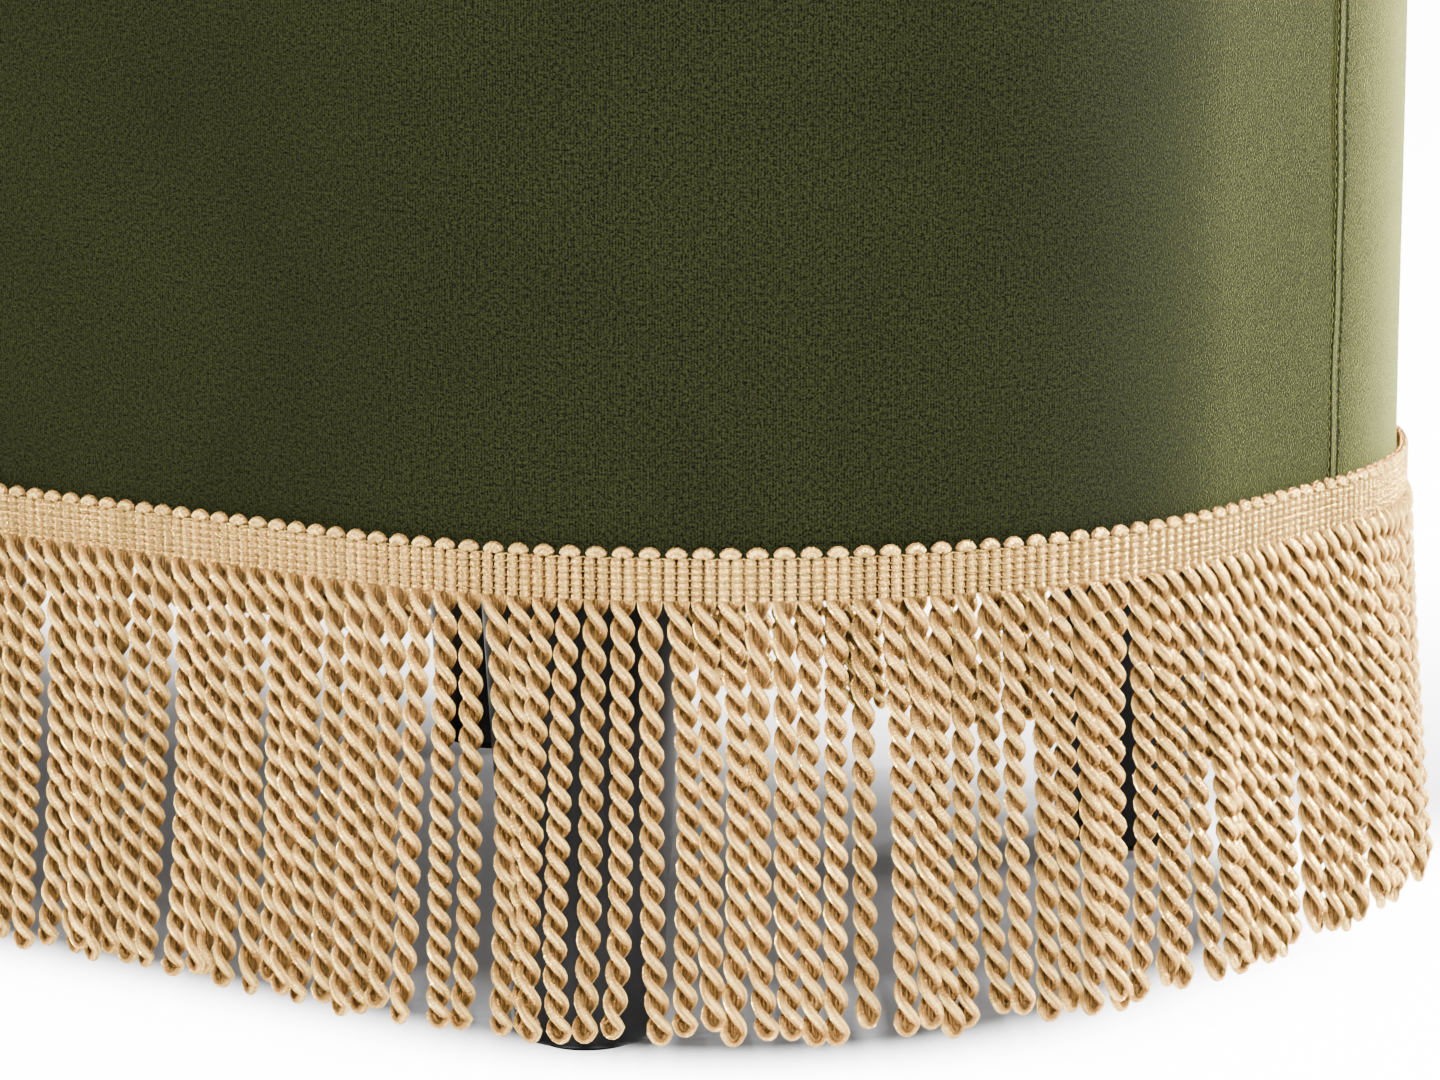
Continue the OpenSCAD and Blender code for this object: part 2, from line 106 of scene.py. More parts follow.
class CoverSettings(bpy.types.PropertyGroup):
    velvet_color: color_setting("Velvet", "Colour of the pile seen straight on", (0.0029, 0.0035, 0.0010))
    sheen_color: color_setting("Sheen", "Colour of the pile seen at a low angle", (0.208, 0.214, 0.058))
    velvet_t: length_setting(
        "Velvet thickness", "Thickness of the velvet with its backing", 0.001, 0.003, 0.002)
    edge_r: length_setting("Edge radius", "Radius of the folded edges of the covers", 0.002, 0.008, 0.004)
    hem_w: length_setting("Hem", "Width of velvet turned under the bottom board", 0.01, 0.03, 0.0215)
    seam_w: length_setting(
        "Seam width", "Width of the raised allowance beside a seam", 0.005, 0.012, 0.0066)
    seam_proud: length_setting(
        "Seam height", "How far the allowance stands proud of the velvet", 0.0005, 0.002, 0.0011)
    stitch_pitch: length_setting(
        "Stitch pitch", "Spacing of the stitches along a seam", 0.002, 0.006, 0.0034)
    lid_edge_r: length_setting(
        "Lid edge radius", "Radius of the lid's rounded top edge", 0.01, 0.03, 0.018)
    crown_reach: length_setting(
        "Crown reach", "Distance from the lid's edge to where its crown levels off", 0.05, 0.2, 0.156)


class FringeSettings(bpy.types.PropertyGroup):
    # Crest, shade and slit colours paint light on the rope: a painted highlight on top of each ply, painted
    # shade down its sides and painted shadow between the plies.
    crest_highlight_color: color_setting(
        "Crest", "Colour of the rope's yarn where a ply stands highest", (1.0, 0.75, 0.23))
    gold_color: color_setting("Rope", "Colour of the rope's yarn", (0.74, 0.43, 0.11))
    shade_color: color_setting("Shade", "Colour of the yarn down the sides of a ply", (0.33, 0.155, 0.038))
    slit_shadow_color: color_setting("Slit", "Colour of the yarn between the plies", (0.025, 0.006, 0.001))
    binding_color: color_setting(
        "Binding", "Colour of the threads that bind the header", (0.30, 0.18, 0.018))
    cord_pitch: length_setting(
        "Cord pitch", "Spacing of the cords along the header", 0.006, 0.012, 0.008)
    ply_r: length_setting("Ply radius", "Radius of one of a cord's two plies", 0.001, 0.003, 0.00168)
    header_r: length_setting(
        "Header yarn radius", "Radius of the yarn where it forms the header", 0.001, 0.003, 0.0019)
    helix_r: length_setting(
        "Helix radius", "Distance from a cord's middle to the middle of a ply", 0.001, 0.003, 0.00216)
    lay_length: length_setting(
        "Lay length", "Length of cord in which its plies turn once", 0.01, 0.03, 0.0167)
    flare: length_setting("Flare", "How far the cords' ends hang out from the velvet", 0.005, 0.02, 0.011)
    sway: length_setting("Sway", "How far the cords' ends lean sideways in clusters", 0, 0.01, 0.004)
    uneven: length_setting(
        "Uneven ends", "How much shorter than the longest a cord may be", 0, 0.01, 0.006)
    beads: IntProperty(
        name="Beads", description="Number of bound beads down each leg of the header",
        min=3, max=9, default=6)
    seed: IntProperty(
        name="Seed", description="Seed of the cords' small differences", min=0, default=7)


class LegSettings(bpy.types.PropertyGroup):
    lacquer_color: color_setting("Lacquer", "Colour of the lacquered legs", (0.004, 0.004, 0.004))
    foot_edge_r: length_setting(
        "Foot edge", "Radius of the rounded edge of a leg's foot", 0.001, 0.005, 0.0025)
    top_edge_r: length_setting(
        "Top edge", "Radius of the rounded edge of a leg's top", 0.0005, 0.003, 0.001)


class StudioSettings(bpy.types.PropertyGroup):
    camera_place: FloatVectorProperty(
        name="Camera", description="Place of the camera", subtype="XYZ", unit="LENGTH",
        size=3, default=(1.173, -1.285, 0.402))
    camera_yaw: FloatProperty(
        name="Camera yaw", description="How far the camera looks to the left of the rear",
        subtype="ANGLE", default=math.radians(36.1))
    camera_pitch: FloatProperty(
        name="Camera pitch", description="How far the camera looks down",
        subtype="ANGLE", default=math.radians(9.67))
    lens: FloatProperty(
        name="Lens", description="Focal length in millimetres, on a sensor 36 mm wide",
        min=20, max=300, default=114.85)
    floor_size: length_setting("Floor", "Width of the floor", 4, 60, 30)
    floor_glow: FloatProperty(
        name="Floor brightness", description="How bright the floor's own colour looks to the camera",
        min=0.1, max=10, default=0.13)
    light_power: FloatProperty(
        name="Light", description="Power of the lights against their normal setting",
        min=0.1, max=10, default=1)


# Small tools for shaders


def feed(tree, socket, value):
    """Links a value that is a socket, and otherwise sets it."""
    if isinstance(value, bpy.types.NodeSocket):
        tree.links.new(value, socket)
    else:
        socket.default_value = value


def add_node(tree, kind, inputs=None, **settings):
    """Adds a node, sets its properties, and sets or links its inputs."""
    node = tree.nodes.new("ShaderNode" + kind)
    for name, value in settings.items():
        setattr(node, name, value)
    for name, value in (inputs or {}).items():
        feed(tree, node.inputs[name], value)
    return node


def math_node(tree, operation, *values):
    return add_node(tree, "Math", dict(enumerate(values)), operation=operation).outputs[0]


def vector_math(tree, operation, *values, output="Vector"):
    return add_node(tree, "VectorMath", dict(enumerate(values)), operation=operation).outputs[output]


def scaled(tree, vector, factor):
    return add_node(tree, "VectorMath", {0: vector, "Scale": factor}, operation="SCALE").outputs[0]


def sine(tree, value, factor):
    return math_node(tree, "SINE", math_node(tree, "MULTIPLY", value, factor))


def split(tree, vector):
    return add_node(tree, "SeparateXYZ", {0: vector}).outputs


def noise(tree, vector, scale, detail, roughness=0.5, distortion=0.0):
    return add_node(tree, "TexNoise", {
        "Vector": vector, "Scale": scale, "Detail": detail, "Roughness": roughness,
        "Distortion": distortion}).outputs[0]


def map_range(tree, value, low, high, new_low, new_high, **settings):
    return add_node(tree, "MapRange", {0: value, 1: low, 2: high, 3: new_low, 4: new_high},
                    **settings).outputs[0]


def mix_colors(tree, factor, first, second):
    return add_node(tree, "Mix", {0: factor, 6: first, 7: second}, data_type="RGBA").outputs[2]


def coordinates(tree, output="Object"):
    return add_node(tree, "TexCoord").outputs[output]


def shade(color, factor=1.0):
    """A colour made darker or lighter by one factor, with an alpha of one."""
    return tuple(min(1.0, c * factor) for c in color) + (1.0,)


def new_group(name, inputs, *outputs):
    """An empty node group. Inputs have a default, a number or a triple, and outputs are numbers."""
    group = bpy.data.node_groups.new(name, "ShaderNodeTree")
    for label, default in inputs.items():
        kind = "NodeSocketVector" if isinstance(default, tuple) else "NodeSocketFloat"
        group.interface.new_socket(label, in_out="INPUT", socket_type=kind).default_value = default
    for label in outputs:
        group.interface.new_socket(label, in_out="OUTPUT", socket_type="NodeSocketFloat")
    source = group.nodes.new("NodeGroupInput")
    sink = group.nodes.new("NodeGroupOutput")
    return group, source.outputs, sink.inputs


def put_out(group, sink, **values):
    for label, value in values.items():
        group.links.new(value, sink[label])


def use_group(tree, name, inputs):
    node = tree.nodes.new("ShaderNodeGroup")
    node.node_tree = bpy.data.node_groups[name]
    for label, value in inputs.items():
        feed(tree, node.inputs[label], value)
    return node.outputs


def new_material(name, **constants):
    """A material with one Principled shader; constants go straight to the shader's own sockets."""
    material = bpy.data.materials.new(name)
    material.use_nodes = True
    shader = material.node_tree.nodes["Principled BSDF"]
    for label, value in constants.items():
        shader.inputs[label.replace("_", " ")].default_value = value
    return material, material.node_tree


def dress(material, color, height, strength, distance, roughness=None):
    """Gives a material its colour, its bump and, where it varies, its roughness."""
    tree = material.node_tree
    shader = tree.nodes["Principled BSDF"]
    bump = add_node(tree, "Bump", {"Height": height, "Strength": strength, "Distance": distance})
    tree.links.new(color, shader.inputs["Base Color"])
    tree.links.new(bump.outputs["Normal"], shader.inputs["Normal"])
    if roughness is not None:
        tree.links.new(roughness, shader.inputs["Roughness"])
    return material


# Effects that the materials share


def pile_group():
    """Velvet pile: broad brushed patches, fine grain and the lines of the backing's weave."""
    group, source, sink = new_group(
        "Pile", {"Object": ORIGIN, "UV": ORIGIN, "Line pitch": 0.0009}, "Patches", "Grain", "Height")
    patches = noise(group, source["Object"], 9.0, 5.0, 0.55, 0.6)
    grain = noise(group, source["UV"], 1500.0, 1.0, 0.6)
    nap = noise(group, source["UV"], 800.0, 2.0, 0.6)
    lines = sine(group, math_node(group, "DIVIDE", split(group, source["UV"])[0], source["Line pitch"]), TURN)
    lined = math_node(group, "MULTIPLY_ADD", lines, 0.07, grain)
    flecks = math_node(group, "SUBTRACT", nap, 0.5)
    put_out(group, sink, Patches=patches, Grain=math_node(group, "MULTIPLY_ADD", flecks, 0.75, lined),
            Height=math_node(group, "MULTIPLY_ADD", nap, 0.3, grain))


def yarn_group():
    """Yarn wound from fine filaments, from a UV map whose U is a length in metres and V one turn round."""
    group, source, sink = new_group(
        "Yarn", {"UV": ORIGIN, "Filament pitch": 0.00055, "Filament turns": 2.0, "Strand lay": 0.02,
                 "Strands": 3.0}, "Filaments", "Strands", "Height")
    along, around, _ = split(group, source["UV"])
    drift = math_node(group, "MULTIPLY", noise(group, source["UV"], 220.0, 2.0), 1.6)
    count = math_node(group, "DIVIDE", along, source["Filament pitch"])
    slant = math_node(group, "MULTIPLY", around, source["Filament turns"])
    wound = math_node(group, "ADD", math_node(group, "ADD", count, slant), drift)
    filaments = math_node(group, "MULTIPLY_ADD", sine(group, wound, TURN), 0.5, 0.5)
    lay = math_node(group, "DIVIDE", along, source["Strand lay"])
    twisted = math_node(group, "ADD", math_node(group, "MULTIPLY", around, source["Strands"]), lay)
    strands = math_node(group, "POWER", math_node(group, "ABSOLUTE", sine(group, twisted, math.pi)), 1.1)
    put_out(group, sink, Filaments=filaments, Strands=strands,
            Height=math_node(group, "MULTIPLY_ADD", filaments, 0.5, strands))


def weave_group():
    """Plain weave from Object coordinates: crossing threads and their height."""
    group, source, sink = new_group(
        "Weave", {"Vector": ORIGIN, "Thread pitch": 0.0008}, "Mask", "Height")
    across, along, upward = [
        sine(group, math_node(group, "DIVIDE", place, source["Thread pitch"]), math.pi)
        for place in split(group, source["Vector"])]
    level = math_node(group, "MULTIPLY", across, along)
    upright = math_node(group, "MULTIPLY", math_node(group, "ADD", across, along), upward)
    both = math_node(group, "ABSOLUTE", math_node(group, "MULTIPLY_ADD", upright, 0.5, level))
    fuzz = noise(group, source["Vector"], 900.0, 2.0)
    put_out(group, sink, Mask=both, Height=math_node(group, "MULTIPLY_ADD", fuzz, 0.5, both))


def grain_group():
    """Wood grain: long drawn-out streaks with pores, along one axis."""
    group, source, sink = new_group(
        "Grain", {"Vector": ORIGIN, "Stretch": (3.0, 60.0, 60.0)}, "Streaks", "Height")
    drawn = vector_math(group, "MULTIPLY", source["Vector"], source["Stretch"])
    streaks = noise(group, drawn, 1.0, 6.0, 0.6, 0.8)
    pores = noise(group, drawn, 9.0, 3.0, 0.7)
    put_out(group, sink, Streaks=streaks, Height=math_node(group, "MULTIPLY_ADD", pores, 0.4, streaks))


def speckle_group():
    """Fine even texture of moulded, plated or foamed surfaces."""
    group, source, sink = new_group("Speckle", {"Vector": ORIGIN, "Size": 0.001}, "Value")
    scale = math_node(group, "DIVIDE", 1.0, source["Size"])
    put_out(group, sink, Value=noise(group, source["Vector"], scale, 4.0, 0.65))


# Materials


def velvet_material(settings):
    material, tree = new_material(
        "olive_velvet", Roughness=0.85, Sheen_Weight=1.0, Sheen_Roughness=0.25,
        Sheen_Tint=shade(settings.sheen_color), Specular_IOR_Level=0.02)
    base = settings.velvet_color
    pile = use_group(tree, "Pile", {"Object": coordinates(tree), "UV": coordinates(tree, "UV")})
    patched = mix_colors(tree, pile["Patches"], shade(base, 0.62), shade(base, 1.45))
    grain = map_range(tree, pile["Grain"], 0.3, 0.7, 0.1, 2.3)
    return dress(material, scaled(tree, patched, grain), pile["Height"], 0.8, 0.00045)


def rope_material(settings):
    """Shiny yarn with painted light: a painted highlight on top of each ply, painted shade down its sides and
    painted shadow between the plies.
    """
    material, tree = new_material(
        "gold_rope", Roughness=0.18, Metallic=0.78, Sheen_Weight=0.08, Sheen_Roughness=0.25,
        Sheen_Tint=(1.0, 0.70, 0.22, 1.0), Specular_IOR_Level=0.5, Specular_Tint=(1.0, 0.78, 0.35, 1.0))
    yarn = use_group(tree, "Yarn", {
        "UV": coordinates(tree, "UV"), "Filament pitch": 0.00095, "Filament turns": 1.0,
        "Strand lay": 0.03, "Strands": 4.0})
    tone, painted_shading = [add_node(tree, "Attribute", attribute_name=name).outputs["Fac"]
                    for name in ("tone", "painted_shading")]
    # The ramp paints light by the painted-shading share: crest highlight, yarn colour, side shade, shadow
    # between plies.
    depth = add_node(tree, "ValToRGB", {"Fac": painted_shading})
    stops = ((0.02, settings.crest_highlight_color), (0.20, settings.gold_color), (0.45, settings.shade_color),
             (0.66, settings.slit_shadow_color))
    elements = depth.color_ramp.elements
    for place, _ in stops[1:-1]:
        elements.new(place)
    for element, (place, color) in zip(elements, stops):
        element.position = place
        element.color = shade(color)
    # Painted shade in the valleys between the strands of each ply.
    strand_valley_shade = mix_colors(tree, yarn["Strands"], shade(settings.shade_color), depth.outputs["Color"])
    soft = mix_colors(tree, 0.85, depth.outputs["Color"], strand_valley_shade)
    brightness = math_node(tree, "MULTIPLY_ADD", tone, 0.36, 0.84)
    filaments = math_node(tree, "MULTIPLY_ADD", yarn["Filaments"], 0.50, 0.68)
    lit = scaled(tree, soft, math_node(tree, "MULTIPLY", brightness, filaments))
    return dress(material, lit, yarn["Height"], 1.0, 0.0007)


def binding_material(settings):
    material, tree = new_material("header_binding", Roughness=0.5, Sheen_Weight=0.3, Sheen_Roughness=0.4)
    base = settings.binding_color
    yarn = use_group(tree, "Yarn", {"UV": coordinates(tree, "UV"), "Filament pitch": 0.0004})
    color = mix_colors(tree, yarn["Filaments"], shade(base, 0.7), shade(base, 1.1))
    return dress(material, color, yarn["Height"], 0.4, 0.0001)


def lacquer_material(settings):
    material, tree = new_material("black_lacquer", Roughness=0.4, Specular_IOR_Level=0.05)
    base = settings.lacquer_color
    grain = use_group(tree, "Grain", {"Vector": coordinates(tree), "Stretch": (90.0, 90.0, 5.0)})
    color = mix_colors(tree, grain["Streaks"], shade(base, 0.6), shade(base, 1.8))
    roughness = map_range(tree, grain["Streaks"], 0.0, 1.0, 0.32, 0.46)
    return dress(material, color, grain["Height"], 0.12, 0.0003, roughness)


def plywood_material(ply_pitch=0.003):
    """Birch with its plies showing as dark lines along the edges of a board."""
    material, tree = new_material("birch_plywood", Roughness=0.62, Specular_IOR_Level=0.3)
    vector = coordinates(tree)
    grain = use_group(tree, "Grain", {"Vector": vector})
    wood = mix_colors(tree, grain["Streaks"], (0.42, 0.27, 0.13, 1.0), (0.72, 0.54, 0.33, 1.0))
    plies = sine(tree, split(tree, vector)[2], TURN / ply_pitch)
    color = mix_colors(tree, map_range(tree, plies, 0.2, 0.6, 0.0, 0.35), wood, (0.30, 0.18, 0.08, 1.0))
    return dress(material, color, grain["Height"], 0.25, 0.0004)


def cloth_material(name, base, pitch):
    material, tree = new_material(
        name, Roughness=0.85, Sheen_Weight=0.06, Sheen_Roughness=0.5, Specular_IOR_Level=0.08)
    weave = use_group(tree, "Weave", {"Vector": coordinates(tree), "Thread pitch": pitch})
    color = mix_colors(tree, weave["Mask"], shade(base, 0.45), shade(base, 1.25))
    return dress(material, color, weave["Height"], 0.5, 0.0004)


def speckled_material(name, base, spot, size, strength, roughness, metallic=0.0):
    """An even material of two close colours, whose spots are also its bump."""
    material, tree = new_material(name, Roughness=roughness, Metallic=metallic)
    speckle = use_group(tree, "Speckle", {"Vector": coordinates(tree), "Size": size})["Value"]
    color = mix_colors(tree, speckle, shade(base), shade(spot))
    spread = map_range(tree, speckle, 0.0, 1.0, roughness * 0.85, min(1.0, roughness * 1.2))
    return dress(material, color, speckle, strength, size, spread)


# The record's material slots, then the finishes of small parts, by name
MATERIALS = {}


def make_materials(scene):
    for make in (pile_group, yarn_group, weave_group, grain_group, speckle_group):
        make()
    MATERIALS.update({
        "velvet": velvet_material(scene.ottoman_cover),
        "fringe": rope_material(scene.ottoman_fringe),
        "leg_black": lacquer_material(scene.ottoman_leg),
        "plywood": plywood_material(),
        "foam": speckled_material(
            "cream_foam", (0.80, 0.74, 0.58), (0.92, 0.88, 0.74), 0.0012, 0.5, 0.9),
        "lining": cloth_material("charcoal_lining", (0.022, 0.022, 0.025), 0.0009),
        "dust_cloth": cloth_material("black_dust_cloth", (0.012, 0.012, 0.012), 0.0014),
        "steel": speckled_material(
            "zinc_plated_steel", (0.50, 0.50, 0.51), (0.66, 0.66, 0.67), 0.0015, 0.05, 0.34, 1.0),
        "rubber": speckled_material(
            "black_rubber", (0.018, 0.018, 0.018), (0.035, 0.035, 0.035), 0.0008, 0.2, 0.7),
        "plastic": speckled_material(
            "black_plastic", (0.014, 0.014, 0.014), (0.024, 0.024, 0.024), 0.0007, 0.1, 0.45),
        "binding": binding_material(scene.ottoman_fringe),
        "thread": speckled_material(
            "seam_thread", (0.12, 0.13, 0.05), (0.24, 0.25, 0.10), 0.0004, 0.3, 0.6),
        # Dark thread for the lid lining's stitches, and painted shade for the side seams' creases.
        "dark_thread_and_crease_shade": speckled_material(
            "crease_shade_and_dark_thread", (0.004, 0.005, 0.002), (0.010, 0.011, 0.005), 0.0004, 0.3, 0.8),
    })


def set_materials(piece, *names):
    piece.data.materials.clear()
    for name in names:
        piece.data.materials.append(MATERIALS[name])


def place_piece(piece, body, node=None):
    """Hides the node that a piece stands for, if one is given, and attaches the piece to its body."""
    if node:
        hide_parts(node)
    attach(piece, body)


# The outline of the bench: its runs from the middle of the front towards the right end

RUNS = np.array([HALF_SIDE, QUARTER, 2 * HALF_END, QUARTER, 2 * HALF_SIDE,
                 QUARTER, 2 * HALF_END, QUARTER, HALF_SIDE])
TURNS = np.array([0, 1, 0, 1, 0, 1, 0, 1, 0]) * math.pi / 2
STARTS = np.concatenate([[0], np.cumsum(RUNS)])
HEADINGS = np.concatenate([[0], np.cumsum(TURNS)])


def run_starts():
    """Plan points where the runs start."""
    places = [np.array([0.0, -HALF_DEPTH])]
    for length, turn, heading in zip(RUNS, TURNS, HEADINGS):
        if turn:
            step = CORNER_R * np.array([math.sin(heading + turn) - math.sin(heading),
                                        math.cos(heading) - math.cos(heading + turn)])
        else:
            step = length * np.array([math.cos(heading), math.sin(heading)])
        places.append(places[-1] + step)
    return np.array(places)


PLACES = run_starts()


def outline(s, out=0.0):
    """Plan points and outward directions at distances s along the velvet, from the middle of the front,
    towards the right end, with the points moved outwards by out."""
    s = np.mod(np.atleast_1d(np.asarray(s, float)), PERIMETER)
    run = np.clip(np.searchsorted(STARTS, s, side="right") - 1, 0, len(RUNS) - 1)
    ahead, turning, before = s - STARTS[run], TURNS[run] > 0, HEADINGS[run]
    heading = before + np.where(turning, ahead / CORNER_R, 0.0)
    straight = ahead[:, None] * np.stack([np.cos(before), np.sin(before)], 1)
    curved = CORNER_R * np.stack([np.sin(heading) - np.sin(before), np.cos(before) - np.cos(heading)], 1)
    outward = np.stack([np.sin(heading), -np.cos(heading)], 1)
    points = PLACES[run] + np.where(turning[:, None], curved, straight)
    return points + np.asarray(out, float).reshape(-1, 1) * outward, outward


def stations(start, end, step, extra=()):
    """Distances from start to end, about a step apart, with the ends of every curve and the middle of
    the rear among them."""
    knots = np.append(STARTS[1:-1], PERIMETER / 2)
    knots = np.concatenate([knots - PERIMETER, knots, knots + PERIMETER, extra])
    marks = np.unique(np.round(np.concatenate([[start, end], knots[(knots > start) & (knots < end)]]), 9))
    spans = [np.linspace(a, b, max(1, math.ceil((b - a) / step)), endpoint=False)
             for a, b in zip(marks[:-1], marks[1:])]
    return np.concatenate(spans + [[end]])


def all_round(step):
    """Distances all the way round the bench, for a closed ring."""
    return stations(0, PERIMETER, step)[:-1]


# Meshes that follow the outline


def wave(distance, length, phase=0.0):
    """A sine wave of a given length."""
    return np.sin(distance * TURN / length + phase)


def ramp(value, start, end):
    """0 up to the start, 1 from the end, and straight between them."""
    return np.clip((value - start) / (end - start), 0, 1)


def arc(centre, radius, start, end, steps):
    """Points (out, z) on an arc; angles in degrees, from straight out towards up."""
    angles = np.radians(np.linspace(start, end, steps + 1))
    return [(centre[0] + radius * math.cos(a), centre[1] + radius * math.sin(a)) for a in angles]


def mesh_piece(name, points, faces, corners_uv, materials, face_material=None, shades=None):
    """A mesh object at the origin from points, faces and one UV pair for each face corner. Shades are
    named values at the points, which its material reads."""
    mesh = bpy.data.meshes.new(name)
    mesh.from_pydata(np.asarray(points).tolist(), [], [list(map(int, face)) for face in faces])
    layer = mesh.uv_layers.new(name="UVMap")
    layer.data.foreach_set("uv", np.asarray(corners_uv, np.float32).ravel())
    mesh.polygons.foreach_set("use_smooth", [len(face) <= 4 for face in faces])
    if face_material is not None:
        mesh.polygons.foreach_set("material_index", np.asarray(face_material, np.int32))
    for label, values in (shades or {}).items():
        attribute = mesh.attributes.new(label, "FLOAT", "POINT")
        attribute.data.foreach_set("value", np.asarray(values, np.float32))
    piece = bpy.data.objects.new(name, mesh)
    bpy.context.scene.collection.objects.link(piece)
    set_materials(piece, *materials)
    mesh.validate()
    mesh.update()
    return piece


def path_lengths(points, closed=False):
    steps = np.linalg.norm(np.diff(points, axis=0), axis=1)
    lengths = np.concatenate([[0], np.cumsum(steps)])
    if closed:
        lengths = np.append(lengths, lengths[-1] + np.linalg.norm(points[0] - points[-1]))
    return lengths


def grid(rows, columns, ring_rows=False, ring_columns=False, corners=(0, 1, 2, 3)):
    """Quads over rows and columns of points, with the row's and the column's value at each corner. A
    direction that closes on itself has one more value at its end. Corners gives their order."""
    i, j = np.meshgrid(np.arange(len(rows) - 1), np.arange(len(columns) - 1), indexing="ij")
    i = np.stack([i, i, i + 1, i + 1], -1).reshape(-1, 4)[:, corners]
    j = np.stack([j, j + 1, j + 1, j], -1).reshape(-1, 4)[:, corners]
    faces = i % (len(rows) - ring_rows) * (len(columns) - ring_columns) + j % (len(columns) - ring_columns)
    return faces, np.asarray(rows)[i], np.asarray(columns)[j]


def uv_pairs(u, v):
    return np.stack([u, v], -1).reshape(-1, 2)


def sweep(s_values, profile, relief=None, ring=False):
    """Points, faces and UV corners of a closed profile of (out, z), swept along the outline."""
    profile = np.array(profile)
    rows, columns = len(s_values), len(profile)
    outs = np.tile(profile[:, 0], (rows, 1))
    heights = np.tile(profile[:, 1], (rows, 1))
    if relief is not None:
        move_out, move_up = relief(np.asarray(s_values)[:, None], outs, heights)
        outs = outs + move_out
        heights = heights + move_up
    places, outward = outline(s_values)
    points = np.empty((rows, columns, 3))
    points[:, :, :2] = places[:, None, :] + outs[:, :, None] * outward[:, None, :]
    points[:, :, 2] = heights
    across = path_lengths(profile, closed=True)
    stops = np.append(s_values, s_values[0] + PERIMETER) if ring else s_values
    faces, u, v = grid(stops, across, ring, True, (0, 3, 2, 1))
    faces, uvs = faces.tolist(), uv_pairs(u, v)
    if not ring:
        ends = np.arange(columns)
        faces += [ends.tolist(), ((rows - 1) * columns + ends[::-1]).tolist()]
        uvs = np.vstack([uvs, uv_pairs(np.full(columns, s_values[0]), across[:-1]),
                         uv_pairs(np.full(columns, s_values[-1]), across[:-1][::-1])])
    return points.reshape(-1, 3), faces, uvs


def tube(centres, radii, reference, sides, closed=False):
    """Points, quads and UV corners of a round tube; U is a length in metres and V a share of a turn.
    The reference is a direction across the tube, and the radii are one number or one for each centre."""
    if closed:
        ahead = np.roll(centres, -1, 0) - np.roll(centres, 1, 0)
    else:
        ahead = np.gradient(centres, axis=0)
    ahead /= np.linalg.norm(ahead, axis=1)[:, None]
    side = reference - ahead * (ahead * reference).sum(1)[:, None]
    side /= np.linalg.norm(side, axis=1)[:, None]
    over = np.cross(ahead, side)
    angles = (TURN * np.arange(sides) / sides)[None, :, None]
    spokes = np.cos(angles) * side[:, None, :] + np.sin(angles) * over[:, None, :]
    points = centres[:, None, :] + np.reshape(radii, (-1, 1, 1)) * spokes
    faces, u, v = grid(path_lengths(centres, closed), np.arange(sides + 1) / sides, closed, True)
    return points.reshape(-1, 3), faces, uv_pairs(u, v)


class Batch:
    """Gathers several shapes into one mesh, with a tone and a share of painted shading at each point."""

    def __init__(self):
        self.points, self.faces, self.uvs = [], [], []
        self.slots, self.tones, self.painted_shadings = [], [], []
        self.count = 0

    def add(self, shape, slot=0, tone=0.5, painted_shading=0.0):
        points, faces, uvs = shape
        self.points.append(points)
        self.faces += [[int(corner) + self.count for corner in face] for face in faces]
        self.uvs.append(uvs)
        self.slots += [slot] * len(faces)
        self.tones.append(np.full(len(points), tone))
        self.painted_shadings.append(painted_shading + np.zeros(len(points)))
        self.count += len(points)

    def piece(self, name, *materials):
        shades = {"tone": np.concatenate(self.tones), "painted_shading": np.concatenate(self.painted_shadings)}
        return mesh_piece(name, np.concatenate(self.points), self.faces, np.concatenate(self.uvs),
                          materials, self.slots, shades)


def deselect_all_but(piece):
    bpy.ops.object.select_all(action="DESELECT")
    bpy.context.view_layer.objects.active = piece
    piece.select_set(True)


def apply_modifiers(piece):
    deselect_all_but(piece)
    for modifier in list(piece.modifiers):
        bpy.ops.object.modifier_apply(modifier=modifier.name)


# Side covers, seams and padding


def velvet_relief(s, out, z, fade=0.004, height=0.00045):
    """The slight unevenness of velvet pulled over foam: soft waves on the faces, none on the hems."""
    waves = wave(s, 0.31, 1.3) * wave(z, 0.23, s * 4.0) + 0.6 * wave(s, 0.173, z * 9.0 + 0.4)
    return ramp(out, -fade, 0) * height * waves, 0.0 * waves


def cover_profile(settings):
    """Section of the side cover: hem, rounded foot, side, rounded top and the turning over the rim."""
    r, t = settings.edge_r, settings.velvet_t
    side = [(0.0, z) for z in np.linspace(BODY_FOOT_Z + r, BODY_TOP_Z - r, 25)[1:-1]]
    return ([(-settings.hem_w, BODY_FOOT_Z), (-2 * r, BODY_FOOT_Z)]
            + arc((-r, BODY_FOOT_Z + r), r, -90, 0, 5) + side
            + arc((-r, BODY_TOP_Z - r), r, 0, 90, 5)
            + [(-2 * r, BODY_TOP_Z), (-RIM_IN + t, BODY_TOP_Z)]
            + arc((-RIM_IN + t / 2, BODY_TOP_Z - t / 2), t / 2, 90, 180, 3)
            + [(-RIM_IN, RIM_TOP_Z), (-t, RIM_TOP_Z), (-t, BOARD_Z), (-settings.hem_w, BOARD_Z)])


class OTTOMAN_OT_side_covers(bpy.types.Operator):
    """Make the two velvet panels round the body's sides"""
    bl_idname = "ottoman.side_covers"
    bl_label = "Side covers"

    def execute(self, context):
        profile = cover_profile(context.scene.ottoman_cover)
        cut_edge = 0.0002
        for name, start, end in (("front", -SEAM_S, SEAM_S), ("rear", SEAM_S, PERIMETER - SEAM_S)):
            s_values = stations(start, end, STEP, (start + cut_edge, end - cut_edge))
            piece = mesh_piece("velvet_cover_" + name, *sweep(s_values, profile, velvet_relief), ["velvet"])
            place_piece(piece, "body", "cover_" + name)
        return {"FINISHED"}


